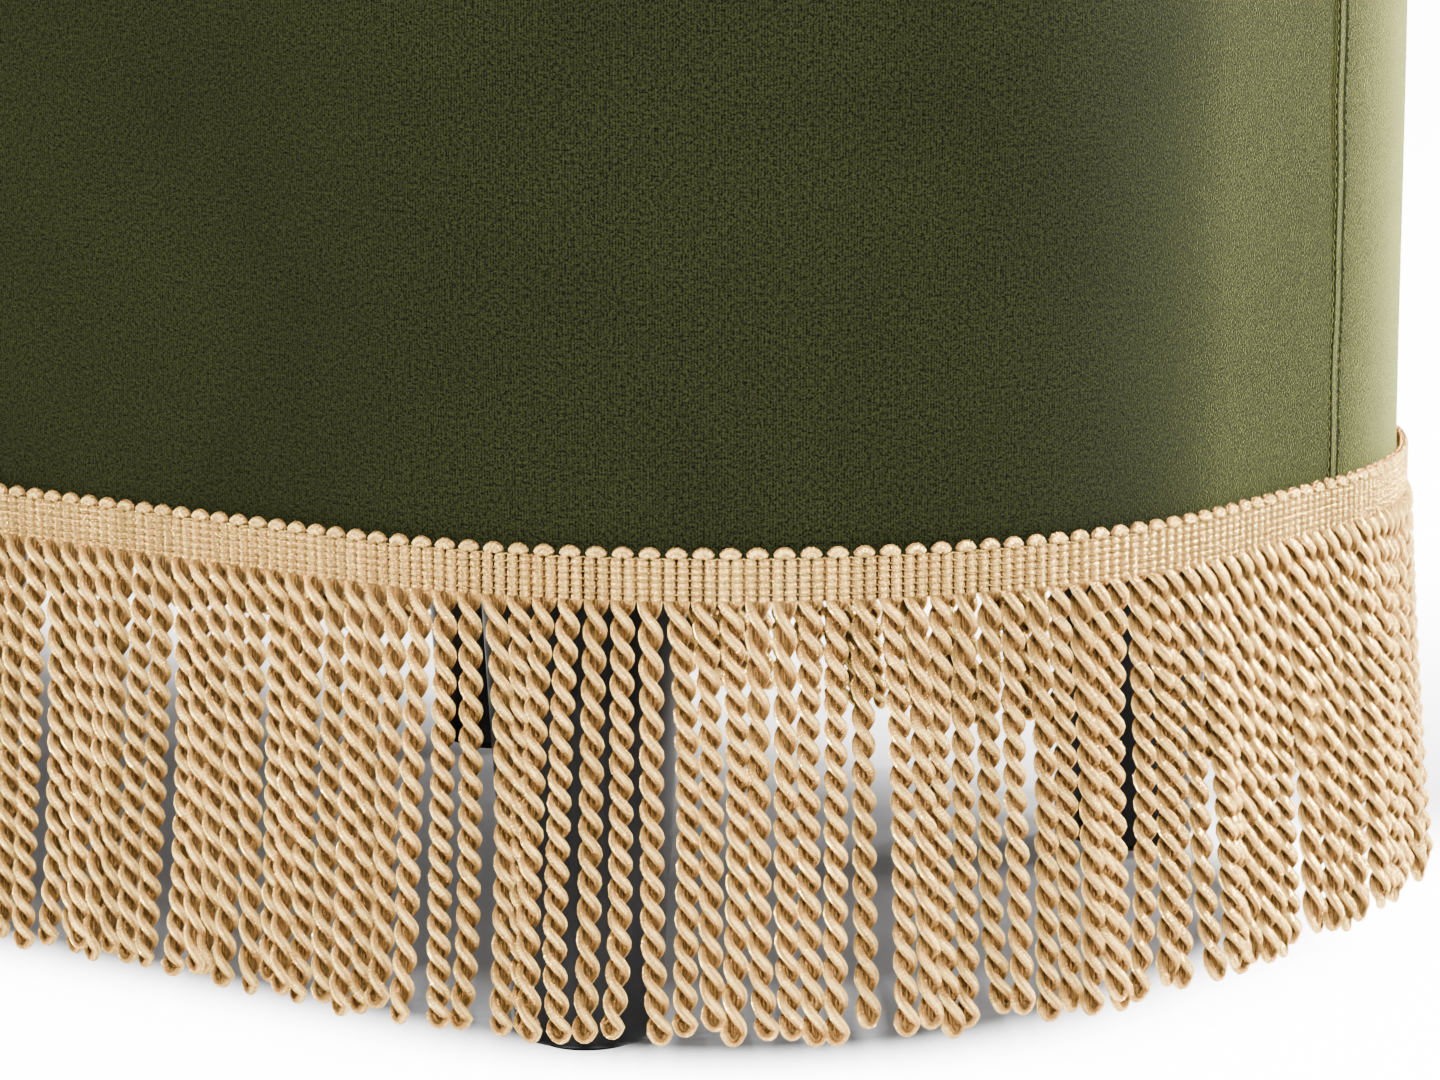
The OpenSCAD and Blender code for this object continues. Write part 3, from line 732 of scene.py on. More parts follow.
def stitch(start, end, outward, radius):
    """One sewn stitch: a thread that rises from the cloth, lies along it and goes down again."""
    start, end, outward = np.asarray(start), np.asarray(end), np.asarray(outward)
    shares = np.array([0.0, 0.12, 0.3, 0.5, 0.7, 0.88, 1.0])
    lift = np.array([-0.9, 0.0, 0.55, 0.7, 0.55, 0.0, -0.9]) * radius
    thickness = np.array([0.7, 0.9, 1.0, 1.0, 1.0, 0.9, 0.7]) * radius
    return tube(start + shares[:, None] * (end - start) + lift[:, None] * outward, thickness, outward, 6)


PUCKER_REACH = 0.0009                   # how far from a row of stitches the cloth puckers
PUCKER_DEPTH = 0.00035                  # how deep a stitch draws it in


def ridge(reach, height, side):
    """Section across a seam's raised allowance as (across, proud): steep at the seam itself, sloping
    away from it, with a narrow welt where the topstitching holds the far edge."""
    across = np.array([-0.05, 0.0, 0.05, 0.16, 0.40, 0.66, 0.78, 0.86, 0.93, 1.0, 1.10, 1.25])
    proud = np.array([-0.6, 0.45, 0.85, 0.80, 0.62, 0.46, 0.48, 0.80, 0.90, 0.55, 0.0, -0.6])
    return side * across * reach, proud * height


def pucker_wave(distance, pitch):
    """1 where a stitch draws the cloth tight and 0 half way to the next stitch."""
    return 0.5 + 0.5 * np.cos(TURN * distance / pitch)


def bump_at(distance, width):
    """A smooth bump of height 1 round a distance of 0."""
    return np.exp(-(distance / width) ** 2)


class OTTOMAN_OT_side_seams(bpy.types.Operator):
    """Make the topstitched seams where the side panels meet"""
    bl_idname = "ottoman.side_seams"
    bl_label = "Side seams"

    def execute(self, context):
        settings = context.scene.ottoman_cover
        foot = HEADER_TOP_Z - 0.002
        top = BODY_TOP_Z - settings.edge_r / 2
        step = settings.stitch_pitch
        heights = np.linspace(foot, top, int((top - foot) / 0.0008))
        pucker = pucker_wave(heights, step)
        drift = 0.0005 * wave(heights, 0.11) + 0.0003 * wave(heights, 0.043)
        for name, seam_s, side in (("right", SEAM_S, 1), ("left", -SEAM_S, -1)):
            batch = Batch()
            batch.add(self.cloth(settings, seam_s, side, heights, pucker, drift))
            # The crease's dark tube is painted shade in the seam, partly the sewn thread.
            batch.add(self.crease(seam_s - side * 0.0004 + drift, heights, pucker), 1)
            for z in np.arange(foot + step, top - step, step):
                place, outward = outline(seam_s + side * 0.97 * settings.seam_w
                                         + np.interp(z, heights, drift))
                level = place[0] + 0.6 * settings.seam_proud * outward[0]
                batch.add(stitch((*level, z + 0.1 * step), (*level, z + 0.85 * step), (*outward[0], 0.0),
                                 0.0003), 2)
            piece = batch.piece("seam_ridge_" + name, "velvet", "dark_thread_and_crease_shade", "thread")
            place_piece(piece, "body", "seam_" + name)
        return {"FINISHED"}

    def cloth(self, settings, seam_s, side, heights, pucker, drift):
        """The raised allowance, drawn in at the seam and pressed down between the topstitches."""
        across, proud = ridge(settings.seam_w, settings.seam_proud, side)
        near = bump_at(np.abs(across), PUCKER_REACH)
        welt = bump_at(np.abs(across) - 0.9 * settings.seam_w, 0.0007)
        points = np.empty((len(heights), len(across), 3))
        for i, z in enumerate(heights):
            shift = across + drift[i] - side * 0.0003 * near * pucker[i]
            places, outward = outline(seam_s + shift)
            lift = proud - PUCKER_DEPTH * welt * (1 - pucker[i])
            points[i, :, :2] = places + lift[:, None] * outward
            points[i, :, 2] = z
        faces, v, u = grid(heights, across, corners=(0, 1, 2, 3) if side > 0 else (3, 2, 1, 0))
        return points.reshape(-1, 3), faces, uv_pairs(u, v)

    def crease(self, s_values, heights, pucker):
        """A dark tube drawn tight between the two panels: partly the sewn thread, partly painted shade in the
        crease.
        """
        places, outward = outline(s_values, 0.00005 + 0.0002 * pucker)
        spokes = np.column_stack([outward, np.zeros(len(heights))])
        return tube(np.column_stack([places, heights]), 0.00032 + 0.00036 * pucker, spokes, 6)


class OTTOMAN_OT_side_padding(bpy.types.Operator):
    """Make the foam wrapped round the walls under the velvet"""
    bl_idname = "ottoman.side_padding"
    bl_label = "Side padding"

    def execute(self, context):
        low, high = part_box("side_foam")
        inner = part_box("end_wall_right")[1].x - HALF_LENGTH
        r = 0.002
        outer = -context.scene.ottoman_cover.velvet_t - r
        profile = ([(inner, low.z)] + arc((outer, low.z + r), r, -90, 0, 3)
                   + arc((outer, high.z - r), r, 0, 90, 3) + [(inner, high.z)])
        piece = mesh_piece("side_padding", *sweep(all_round(2 * STEP), profile, ring=True), ["foam"])
        place_piece(piece, "body", "side_foam")
        return {"FINISHED"}


# Lid


def dome(s_values, insets, heights, spine_steps):
    """Rings along the outline at each inset, then rings that close on a line along the middle."""
    places, outward = outline(s_values)
    rings = [np.column_stack([places - inset * outward, np.full(len(places), height)])
             for inset, height in zip(insets, heights)]
    last = rings[-1]
    spine = np.column_stack([np.clip(last[:, 0], -HALF_SIDE, HALF_SIDE), np.zeros(len(last)), last[:, 2]])
    rings += [last + (spine - last) * k / spine_steps for k in range(1, spine_steps + 1)]
    return np.array(rings)


def dome_piece(name, material, s_values, rings, merge, closed=False):
    """A mesh of rings round the bench, with the points merged where the rings close on a line."""
    lengths = path_lengths(rings[:, 0])
    if closed:
        lengths = np.append(lengths, 1.0)
    faces, v, u = grid(lengths, np.append(s_values, s_values[0] + PERIMETER), closed, True)
    piece = mesh_piece(name, rings.reshape(-1, 3), faces, uv_pairs(u, v), [material])
    deselect_all_but(piece)
    bpy.ops.object.mode_set(mode="EDIT")
    bpy.ops.mesh.select_all(action="SELECT")
    bpy.ops.mesh.remove_doubles(threshold=merge)
    bpy.ops.object.mode_set(mode="OBJECT")
    return piece


def thicken(piece, thickness, offset):
    wall = piece.modifiers.new("Thickness", "SOLIDIFY")
    wall.thickness = thickness
    wall.offset = offset
    apply_modifiers(piece)


def crown_rise(inset, settings):
    """How far the padding lifts the lid's top at a distance in from the velvet's face."""
    start = 0.3 * settings.lid_edge_r
    crown = LID_TOP_Z - LID_SEAM_Z - settings.lid_edge_r
    return crown * np.sin(math.pi / 2 * ramp(inset, start, settings.crown_reach))


def cushion(settings, s_values, depth):
    """Rings of the lid's domed top at a depth below its face: rounded edge, crown, waves and puckers."""
    r = settings.lid_edge_r
    turns = np.radians(np.linspace(0, 90, 9))
    flat = np.linspace(r, SPINE_IN, 22)[1:]
    insets = np.concatenate([r - (r - depth) * np.cos(turns), flat])
    edge = (r - depth) * np.concatenate([np.sin(turns), np.ones(len(flat))])
    rings = dome(s_values, insets, LID_SEAM_Z + edge + crown_rise(insets, settings), 7)
    x, y = rings[:, :, 0], rings[:, :, 1]
    waves = 0.0011 * (wave(x, 0.37, 0.7) * wave(y, 0.29, 1.9) + 0.7 * wave(x, 0.19, y * 17.0))
    puckers = 0.0005 * wave(s_values, 0.021, 1.7 * np.sin(s_values * 31.0))
    inset_of = np.concatenate([insets, np.full(len(rings) - len(insets), insets[-1])])[:, None]
    rings[:, :, 2] += waves * ramp(inset_of, 0, 0.1) + bump_at(inset_of - 0.6 * r, 0.5 * r) * puckers
    rings[:, :, 2] = np.minimum(rings[:, :, 2], LID_TOP_Z + 0.003)
    return rings


class OTTOMAN_OT_lid(bpy.types.Operator):
    """Make the lid's padded top, its boxing, the stitched seam between them and the foam inside"""
    bl_idname = "ottoman.lid"
    bl_label = "Lid"

    def execute(self, context):
        settings = context.scene.ottoman_cover
        s_values = all_round(0.007)
        rings = cushion(settings, s_values, 0.0)
        piece = dome_piece("velvet_lid_top", "velvet", s_values, rings, merge=0.0002)
        thicken(piece, settings.velvet_t, -1.0)
        place_piece(piece, "lid", "lid_top_panel")

        rings = cushion(settings, s_values, settings.velvet_t + 2 * GAP)
        base = rings.copy()
        base[:, :, 2] = LID_FOAM_Z
        closed = np.concatenate([base[:1], rings, base[:0:-1][1:]])
        piece = dome_piece("lid_cushion_foam", "foam", s_values, closed, merge=0.0002, closed=True)
        place_piece(piece, "lid", "lid_foam")

        piece = mesh_piece("velvet_lid_boxing", *self.boxing(settings), ["velvet"])
        place_piece(piece, "lid", "lid_boxing")
        place_piece(self.seam(settings), "lid", "lid_seam")
        return {"FINISHED"}

    def boxing(self, settings):
        """The band of velvet round the lid's side, turned in under the board."""
        r, t = settings.edge_r, settings.velvet_t
        profile = ([(-LID_LINING_IN, LID_Z), (-2 * r, LID_Z)] + arc((-r, LID_Z + r), r, -90, 0, 5)
                   + [(0.0, z) for z in np.linspace(LID_Z + r, LID_SEAM_Z, 12)[1:]]
                   + [(-t, LID_SEAM_Z), (-t, LID_BOARD_Z), (-LID_LINING_IN, LID_BOARD_Z)])
        return sweep(all_round(STEP), profile, velvet_relief, ring=True)

    def seam(self, settings):
        """The raised allowance below the lid's seam, with its row of topstitching."""
        across, proud = ridge(settings.seam_w, settings.seam_proud, -1)
        line_z = LID_SEAM_Z - 0.89 * settings.seam_w

        def relief(s, out, z):
            pucker = pucker_wave(s, settings.stitch_pitch)
            near, line = bump_at(z - LID_SEAM_Z, PUCKER_REACH), bump_at(z - line_z, PUCKER_REACH)
            return -PUCKER_DEPTH * near * pucker - 0.0003 * line * (1 - pucker), 0.00025 * near * pucker

        batch = Batch()
        s_values = np.linspace(0, PERIMETER, int(PERIMETER / 0.0017), endpoint=False)
        profile = np.column_stack([proud, LID_SEAM_Z + across])[::-1]
        batch.add(sweep(s_values, profile, relief, ring=True))
        step = PERIMETER / round(PERIMETER / settings.stitch_pitch)
        starts = np.arange(0, PERIMETER - step / 2, step)
        out = 0.6 * settings.seam_proud + 0.0001
        first, outward = outline(starts + 0.1 * step, out)
        last, _ = outline(starts + 0.8 * step, out)
        for a, b, n in zip(first, last, outward):
            batch.add(stitch((*a, line_z), (*b, line_z), (*n, 0.0), 0.00028), 1)
        return batch.piece("lid_seam_ridge", "velvet", "thread")


# Fringe: each cord is one yarn, doubled and twisted, that comes down from a scallop of the header

CLUSTERS = ((29, 0.34), (41, 0.40), (57, 0.30), (83, 0.22))     # waves round the bench, share of the sway
STEPS_PER_HALF_TURN = 5
STEPS_PER_BEAD = 6


def hang(settings, count):
    """Where each cord starts and ends: plan places at the header and at the foot, and its differences."""
    random = np.random.default_rng(settings.seed)
    start = (np.arange(count) + 0.5) * PERIMETER / count
    top, outward = outline(start, settings.header_r + 0.0003)
    cluster = np.zeros(count)
    for waves, share in CLUSTERS:
        cluster += share * np.sin(TURN * start / PERIMETER * waves + random.uniform(0, TURN))
    sway = settings.sway * cluster + random.normal(0, 0.16, count) * settings.sway
    depth = 0.0017 * random.normal(0, 1, count)
    foot, _ = outline(start + sway, settings.flare + depth)
    foot = spread_feet(settings, top, foot, outward)
    return {
        "s": start, "top": top, "foot": foot, "out": outward,
        "drop": BODY_FOOT_Z - FRINGE_FOOT_Z - settings.uneven * random.uniform(0, 1, count) ** 1.5,
        "lay": settings.lay_length * random.uniform(0.93, 1.09, count),
        "bow": random.normal(0, 1, (count, 2)) * np.array([0.0009, 0.0006]),
        "curl": random.normal(0, 0.0017, count),
        "tone": np.clip(0.5 + 0.28 * random.normal(0, 1, count), 0, 1),
        "slip": random.uniform(-1.7, 1.7, count)}


def spread_feet(settings, top, foot, outward, rounds=90, squash=0.0008, inmost=0.005, slack=0.003):
    """Pushes the cords' ends apart until they lie side by side, in a band out from the velvet."""
    wanted = foot.copy()
    least = 2 * settings.ply_r + 2 * settings.helix_r - squash
    for _ in range(rounds):
        push = np.zeros_like(foot)
        for neighbour in (1, 2, 3):
            gap = np.roll(foot, -neighbour, 0) - foot
            distance = np.linalg.norm(gap, axis=1)
            overlap = np.clip(least - distance, 0, None)[:, None] * gap / distance[:, None]
            push -= 0.25 * overlap
            push += 0.25 * np.roll(overlap, neighbour, 0)
        beyond = ((foot - top) * outward).sum(1)
        push += (np.clip(inmost - beyond, 0, None) * 0.3)[:, None] * outward
        push -= (np.clip(beyond - settings.flare - slack, 0, None) * 0.3)[:, None] * outward
        foot = foot + (push + 0.02 * (wanted - foot))
    return foot


def cord_axis(settings, cords, k, out, along):
    """A cord's middle line, its plies' offset from it and their radius there, from the header down."""
    top = np.array([*cords["top"][k], BODY_FOOT_Z])
    move = np.array([*cords["foot"][k], BODY_FOOT_Z]) - top
    length = cords["drop"][k] - settings.helix_r - settings.ply_r
    half_turns = round(2 * length / cords["lay"][k])
    spin = half_turns * math.pi + 0.35 * math.sin(2.4 * k)
    share = np.linspace(0, 1, half_turns * STEPS_PER_HALF_TURN + 1)
    eased = share - 0.06 * np.sin(TURN * share) / TURN
    phase = spin * eased + cords["slip"][k] * np.sin(math.pi * share) ** 0.7
    sideways = (move @ along) * along
    axis = (top + sideways * (1 - (1 - share) ** 4)[:, None]
            + (move - sideways) * (share ** 1.1)[:, None] - UP * (length * share)[:, None])
    axis += np.sin(math.pi * share)[:, None] * (cords["bow"][k][0] * along + cords["bow"][k][1] * out)
    axis += (ramp(share, 0.75, 1) ** 2)[:, None] * cords["curl"][k] * along
    swing = -np.cos(phase)[:, None] * along + np.sin(phase)[:, None] * out
    return axis, swing, settings.helix_r * (1 + 0.15 * ramp(share, 0.965, 1))


def header_sizes(settings):
    """Radius of the header's scallops, and height of one of its bound beads."""
    scallop_r = settings.cord_pitch / 4
    return scallop_r, (HEADER_TOP_Z - BODY_FOOT_Z - scallop_r - settings.header_r) / settings.beads


def header_loop(settings, top, along):
    """The yarn's way up through the header, over a scallop and down again, its radii and its painted shade,
    darkest in the valleys between the beads.
    """
    scallop_r, bead_h = header_sizes(settings)
    rise = np.arange(1, settings.beads * STEPS_PER_BEAD + 1) / STEPS_PER_BEAD * bead_h
    pinch = np.abs(np.sin(math.pi * rise / bead_h)) ** 0.5
    bead_radius = settings.header_r * (0.50 + 0.42 * pinch)
    leg = top + UP * rise[:, None]
    bend = np.radians(np.linspace(180, 0, 8))[1:-1]
    scallop = leg[-1] + scallop_r * (np.cos(bend)[:, None] * along + np.sin(bend)[:, None] * UP)
    line = np.concatenate([leg - scallop_r * along, scallop, (leg + scallop_r * along)[::-1]])
    radii = np.concatenate([bead_radius, np.full(len(bend), settings.header_r * 0.93), bead_radius[::-1]])
    # Painted shade in the valleys between the bound beads.
    shaded = np.concatenate([1 - pinch, np.zeros(len(bend)), 1 - pinch[::-1]])
    return line, radii, shaded


def cord_shape(settings, cords, k, core_r=0.0009):
    """One cord as a closed tube: up one ply, through the header, down the other ply and round the loop at its
    end. Returns the tube with its share of painted shading at each point, and the core between the plies,
    which is coloured as painted shadow."""
    out = np.array([*cords["out"][k], 0.0])
    along = np.array([-out[1], out[0], 0.0])
    axis, swing, reach = cord_axis(settings, cords, k, out, along)
    header, header_radii, header_shade = header_loop(settings, axis[0], along)
    offset = reach[:, None] * swing
    left, right = axis + offset, axis - offset
    down = axis[-1] - axis[-2]
    down /= np.linalg.norm(down)
    turn_round = np.radians(np.linspace(0, 180, 8))[1:-1]
    loop = axis[-1] + settings.helix_r * (-np.cos(turn_round)[:, None] * swing[-1]
                                          + 1.25 * np.sin(turn_round)[:, None] * down)
    line = np.concatenate([left[::-1], header, right, loop])
    plies = np.full(len(axis), settings.ply_r)
    radii = np.concatenate([plies, header_radii, plies, np.full(len(loop), settings.ply_r * 0.95)])
    inward = np.concatenate([-offset[::-1], np.tile(-out, (len(header), 1)), offset, axis[-1] - loop])
    shaded = np.concatenate([np.zeros(len(left)), header_shade, np.zeros(len(right) + len(loop))])
    shape = tube(line, radii, out, 8, True)
    core = np.vstack([axis[::STEPS_PER_HALF_TURN], 1.5 * axis[-1] - 0.5 * axis[-4]])
    return shape, painted_shading_share(shape[0], line, radii, inward, shaded), tube(core, core_r, out, 4)


def painted_shading_share(points, line, radii, inward, shaded):
    """How far each point of a cord lies hidden between its plies or beads, from 0 on top to 1 inside: the
    share of painted shading, from the painted highlight on top to the painted shadow inside.
    """
    inward = inward / np.maximum(np.linalg.norm(inward, axis=1), 1e-6)[:, None]
    spokes = (points.reshape(len(line), -1, 3) - line[:, None, :]) / radii[:, None, None]
    facing = (spokes * inward[:, None, :]).sum(-1)
    return np.maximum(0.5 + 0.5 * facing, shaded[:, None]).reshape(-1)


def binding_thread(settings, start, end, z):
    """A thread woven across the header's legs at height z, dipping between them."""
    step = settings.cord_pitch / 8
    s_values = np.arange(round(start / step), round(end / step) + 1) * step
    over = np.abs(np.sin(TURN * s_values / settings.cord_pitch))
    places, _ = outline(s_values, settings.header_r * (0.5 + 1.35 * over ** 0.75))
    return tube(np.column_stack([places, np.full(len(places), z)]), 0.00026, UP, 5)


def backing_tape(start, end, far=0.0009, below_top=0.004):
    """The tape behind the header's yarn, which holds it to the velvet."""
    foot, top = BODY_FOOT_Z, HEADER_TOP_Z - below_top
    return sweep(stations(start, end, STEP), [(GAP, foot), (far, foot), (far, top), (GAP, top)])


def fringe_stretches():
    """Names of the fringe's stretches in order from the middle of the front, with where each starts."""
    end_lengths = [QUARTER / 3] * 3 + [2 * HALF_END] + [QUARTER / 3] * 3
    right, left = [["fringe_%s_%d" % (side, n) for n in range(1, 8)] for side in ("right", "left")]
    names = ["fringe_front_2"] + right + ["fringe_rear_1", "fringe_rear_2"] + left + ["fringe_front_1"]
    lengths = [HALF_SIDE] + end_lengths + [HALF_SIDE] * 2 + end_lengths + [HALF_SIDE]
    ends = np.cumsum(lengths)
    return list(zip(names, ends - lengths, ends))


class OTTOMAN_OT_fringe(bpy.types.Operator):
    """Make the rope fringe: scalloped header, binding threads and twisted cords"""
    bl_idname = "ottoman.fringe"
    bl_label = "Fringe"

    def execute(self, context):
        settings = context.scene.ottoman_fringe
        count = round(PERIMETER / settings.cord_pitch)
        settings.cord_pitch = PERIMETER / count
        cords = hang(settings, count)
        bead_h = header_sizes(settings)[1]
        for node, start, end in fringe_stretches():
            batch = Batch()
            for k in np.nonzero((cords["s"] >= start) & (cords["s"] < end))[0]:
                shape, painted_shading, core = cord_shape(settings, cords, k)
                batch.add(shape, 0, cords["tone"][k], painted_shading)
                # The core takes a dark colour of the ramp: painted shadow seen between the plies.
                batch.add(core, painted_shading=0.64)
            for row in range(settings.beads + 1):
                batch.add(binding_thread(settings, start, end, BODY_FOOT_Z + row * bead_h), 1)
            # The tape takes the darkest colour of the ramp: painted shadow in the gaps between the header's
            # legs.
            batch.add(backing_tape(start, end), painted_shading=1.0)
            place_piece(batch.piece("rope_" + node, "fringe", "binding"), "body", node)
        return {"FINISHED"}


# Legs, dust cover and the frame's own pieces


def select_level(piece, z):
    """Selects what of a turned piece lies level at height z, in edit mode."""
    bpy.ops.object.mode_set(mode="OBJECT")
    mesh = piece.data
    for vertex in mesh.vertices:
        vertex.select = abs(vertex.co.z - z) < 1e-5
    for part in [*mesh.edges, *mesh.polygons]:
        part.select = all(mesh.vertices[corner].select for corner in part.vertices)
    bpy.ops.object.mode_set(mode="EDIT")


class OTTOMAN_OT_legs(bpy.types.Operator):
    """Turn the six tapered legs"""
    bl_idname = "ottoman.legs"
    bl_label = "Legs"

    def execute(self, context):
        pattern = self.turn(context.scene.ottoman_leg)
        for node in LEG_NODES:
            low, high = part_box(node)
            middle = (low + high) / 2
            piece = pattern.copy()
            piece.data = pattern.data.copy()
            piece.name = piece.data.name = "turned_" + node
            bpy.context.scene.collection.objects.link(piece)
            for vertex in piece.data.vertices:
                vertex.co.x += middle.x
                vertex.co.y += middle.y
            set_materials(piece, "leg_black")
            place_piece(piece, "body", node)
        bpy.data.objects.remove(pattern)
        return {"FINISHED"}

    def turn(self, settings, sunk_w=0.006, sunk_h=0.0006):
        """One leg at the origin, with rounded edges and a slightly sunk middle to its foot."""
        low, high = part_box("leg_front_middle")
        middle = (low + high) / 2
        foot_r = max(math.hypot(v.co.x - middle.x, v.co.y - middle.y)
                     for v in frame["nodes"]["leg_front_middle"].data.vertices if v.co.z < low.z + 0.0001)
        bpy.ops.object.select_all(action="DESELECT")
        bpy.ops.mesh.primitive_cone_add(
            vertices=96, radius1=foot_r, radius2=(high.x - low.x) / 2, depth=high.z - low.z,
            end_fill_type="NGON", location=(0, 0, middle.z))
        pattern = bpy.context.object
        bpy.ops.object.transform_apply(location=True, rotation=True, scale=True)
        bpy.context.tool_settings.mesh_select_mode = (False, True, False)
        for z, radius in ((low.z, settings.foot_edge_r), (high.z, settings.top_edge_r)):
            select_level(pattern, z)
            bpy.ops.mesh.bevel(offset=radius, segments=5, affect="EDGES")
        select_level(pattern, low.z)
        bpy.ops.mesh.inset(thickness=sunk_w)
        bpy.ops.transform.translate(value=(0, 0, sunk_h))
        bpy.ops.object.mode_set(mode="OBJECT")
        bpy.ops.object.shade_smooth_by_angle(angle=math.radians(50))
        return pattern


class OTTOMAN_OT_dust_cover(bpy.types.Operator):
    """Stretch the black dust cover under the bench, with holes for the legs and staples round its edge"""
    bl_idname = "ottoman.dust_cover"
    bl_label = "Dust cover"

    def execute(self, context):
        low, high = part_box("dust_cover")
        inset = HALF_DEPTH - high.y
        s_values = all_round(2 * STEP)
        insets = np.array([inset, inset + 0.004, inset + 0.01, 0.03, 0.05, 0.08, 0.11, 0.14, SPINE_IN])
        rings = dome(s_values, insets, np.full(len(insets), high.z), 6)
        inner = ramp(np.arange(len(rings)), 2, 6)[:, None]
        rings[:, :, 2] -= 0.0016 * (0.6 + 0.4 * np.cos(rings[:, :, 0] * TURN / 0.305)) * inner
        piece = dome_piece("stapled_dust_cover", "dust_cloth", s_values, rings, merge=0.0003)
        thicken(piece, high.z - low.z, -1.0)
        hole_r = self.cut_holes(piece)
        place_piece(piece, "body", "dust_cover")
        self.staples(low.z, inset + 0.006)
        return {"FINISHED"}

    def cut_holes(self, piece, clearance=0.002):
        """Cuts the hole round each leg, and returns the holes' radius."""
        for node in LEG_NODES:
            low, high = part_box(node)
            hole_r = (high.x - low.x) / 2 + clearance
            bpy.ops.object.select_all(action="DESELECT")
            bpy.ops.mesh.primitive_cylinder_add(
                vertices=48, radius=hole_r, depth=0.02,
                location=((low.x + high.x) / 2, (low.y + high.y) / 2, high.z))
            cutter = bpy.context.object
            cut = piece.modifiers.new("Leg hole", "BOOLEAN")
            cut.object = cutter
            cut.operation = "DIFFERENCE"
            cut.solver = "EXACT"
            apply_modifiers(piece)
            bpy.data.objects.remove(cutter)
        return hole_r

    def staples(self, z, inset, wire=0.0005, crown=0.010, leg=0.0012, pitch=0.06):
        """Bright wire staples round the dust cover's edge."""
        batch = Batch()
        for s in np.arange(pitch / 2, PERIMETER, pitch):
            ends, outward = outline([s - crown / 2, s + crown / 2], -inset)
            a, b = [np.append(end, z - wire) for end in ends]
            path = np.array([a + UP * leg, a + UP * 0.3 * leg, a + (b - a) * 0.06, a + (b - a) * 0.5,
                             b + (a - b) * 0.06, b + UP * 0.3 * leg, b + UP * leg])
            batch.add(tube(path, wire / 2, np.append(outward[0], 0.0), 6))
        place_piece(batch.piece("dust_cover_staples", "steel"), "body")


class OTTOMAN_OT_linings(bpy.types.Operator):
    """Hang the storage space's lining and stretch the lining under the lid"""
    bl_idname = "ottoman.linings"
    bl_label = "Linings"

    def execute(self, context):
        cloth_t = 0.0010
        self.storage(cloth_t)
        self.under_lid(cloth_t)
        return {"FINISHED"}

    def storage(self, cloth_t, hem_h=0.014, hem_t=0.0022):
        """The cloth round the storage space: gently rippled, with a rolled hem at its top."""
        low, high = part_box("storage_lining")
        outer = high.y - HALF_DEPTH - GAP
        hem_z = high.z - hem_h
        rows = np.linspace(low.z, hem_z, 9)
        profile = ([(outer - cloth_t, rows[0])] + [(outer, z) for z in rows]
                   + arc((outer - hem_t / 2, high.z - hem_t / 2), hem_t / 2, 0, 180, 6)
                   + [(outer - hem_t, hem_z + 0.001), (outer - cloth_t, hem_z)]
                   + [(outer - cloth_t, z) for z in rows[::-1][1:-1]])

        def relief(s, out, z):
            slack = np.clip((hem_z - z) / 0.03, 0, 1) * np.clip((z - low.z) / 0.03, 0.3, 1)
            ripple = (0.5 + 0.3 * wave(s, 0.048, 2.2 * np.sin(s * 9.0) + 0.5 * np.sin(z * 60.0))
                      + 0.2 * wave(s, 0.021, z * 22.0))
            return -0.0016 * slack * ripple, 0.0 * slack

        shape = sweep(all_round(0.0045), profile, relief, ring=True)
        piece = mesh_piece("storage_lining_cloth", *shape, ["lining"])
        place_piece(piece, "body", "storage_lining")

    def under_lid(self, cloth_t):
        """The cloth stretched under the lid board, with its edge turned under and sewn."""
        s_values = all_round(STEP)
        inset = LID_LINING_IN + 2 * GAP
        steps = np.array([0, 0.0008, 0.002, 0.006, 0.0075, 0.009, 0.013, 0.03, 0.055, 0.085, 0.115, 0.13])
        heights = LID_Z + 0.001 * np.array([0.9, 0.25, 0.0, 0.0, 0.12, 0.55, 0.6, 0.5, 0.42, 0.36, 0.32, 0.3])
        rings = dome(s_values, inset + steps, heights, 6)
        pull = bump_at(np.arange(len(rings)) - 7.0, 1.6)[:, None]
        rings[:, :, 2] += 0.00022 * pull * wave(s_values, 0.026, 2 * np.sin(s_values * 13.0))
        piece = dome_piece("lid_lining_cloth", "lining", s_values, rings, merge=0.0003)
        thicken(piece, cloth_t, 1.0)
        place_piece(piece, "lid", "lid_lining")
        self.stitches(inset + 0.0048)

    def stitches(self, inset, wanted_pitch=0.005):
        """The row of stitches that holds the turned edge of the lid's lining."""
        batch = Batch()
        pitch = PERIMETER / round((PERIMETER - TURN * inset) / wanted_pitch)
        starts = np.arange(0, PERIMETER - pitch / 2, pitch)
        first, _ = outline(starts, -inset)
        last, _ = outline(starts + 0.62 * pitch, -inset)
        z = LID_Z - 0.0001
        for a, b in zip(first, last):
            batch.add(stitch((*a, z), (*b, z), -UP, 0.00024))
        place_piece(batch.piece("lid_lining_stitches", "dark_thread_and_crease_shade"), "lid")


class OTTOMAN_OT_frame_finish(bpy.types.Operator):
    """Give the pieces that stay as they were built their wood, metal, rubber and lining finishes"""
    bl_idname = "ottoman.frame_finish"
    bl_label = "Frame finish"

    def execute(self, context):
        for part in frame["record"]["subparts"]:
            set_materials(frame["nodes"][part["node"]], part["material_slot"])
        return {"FINISHED"}


# Stage


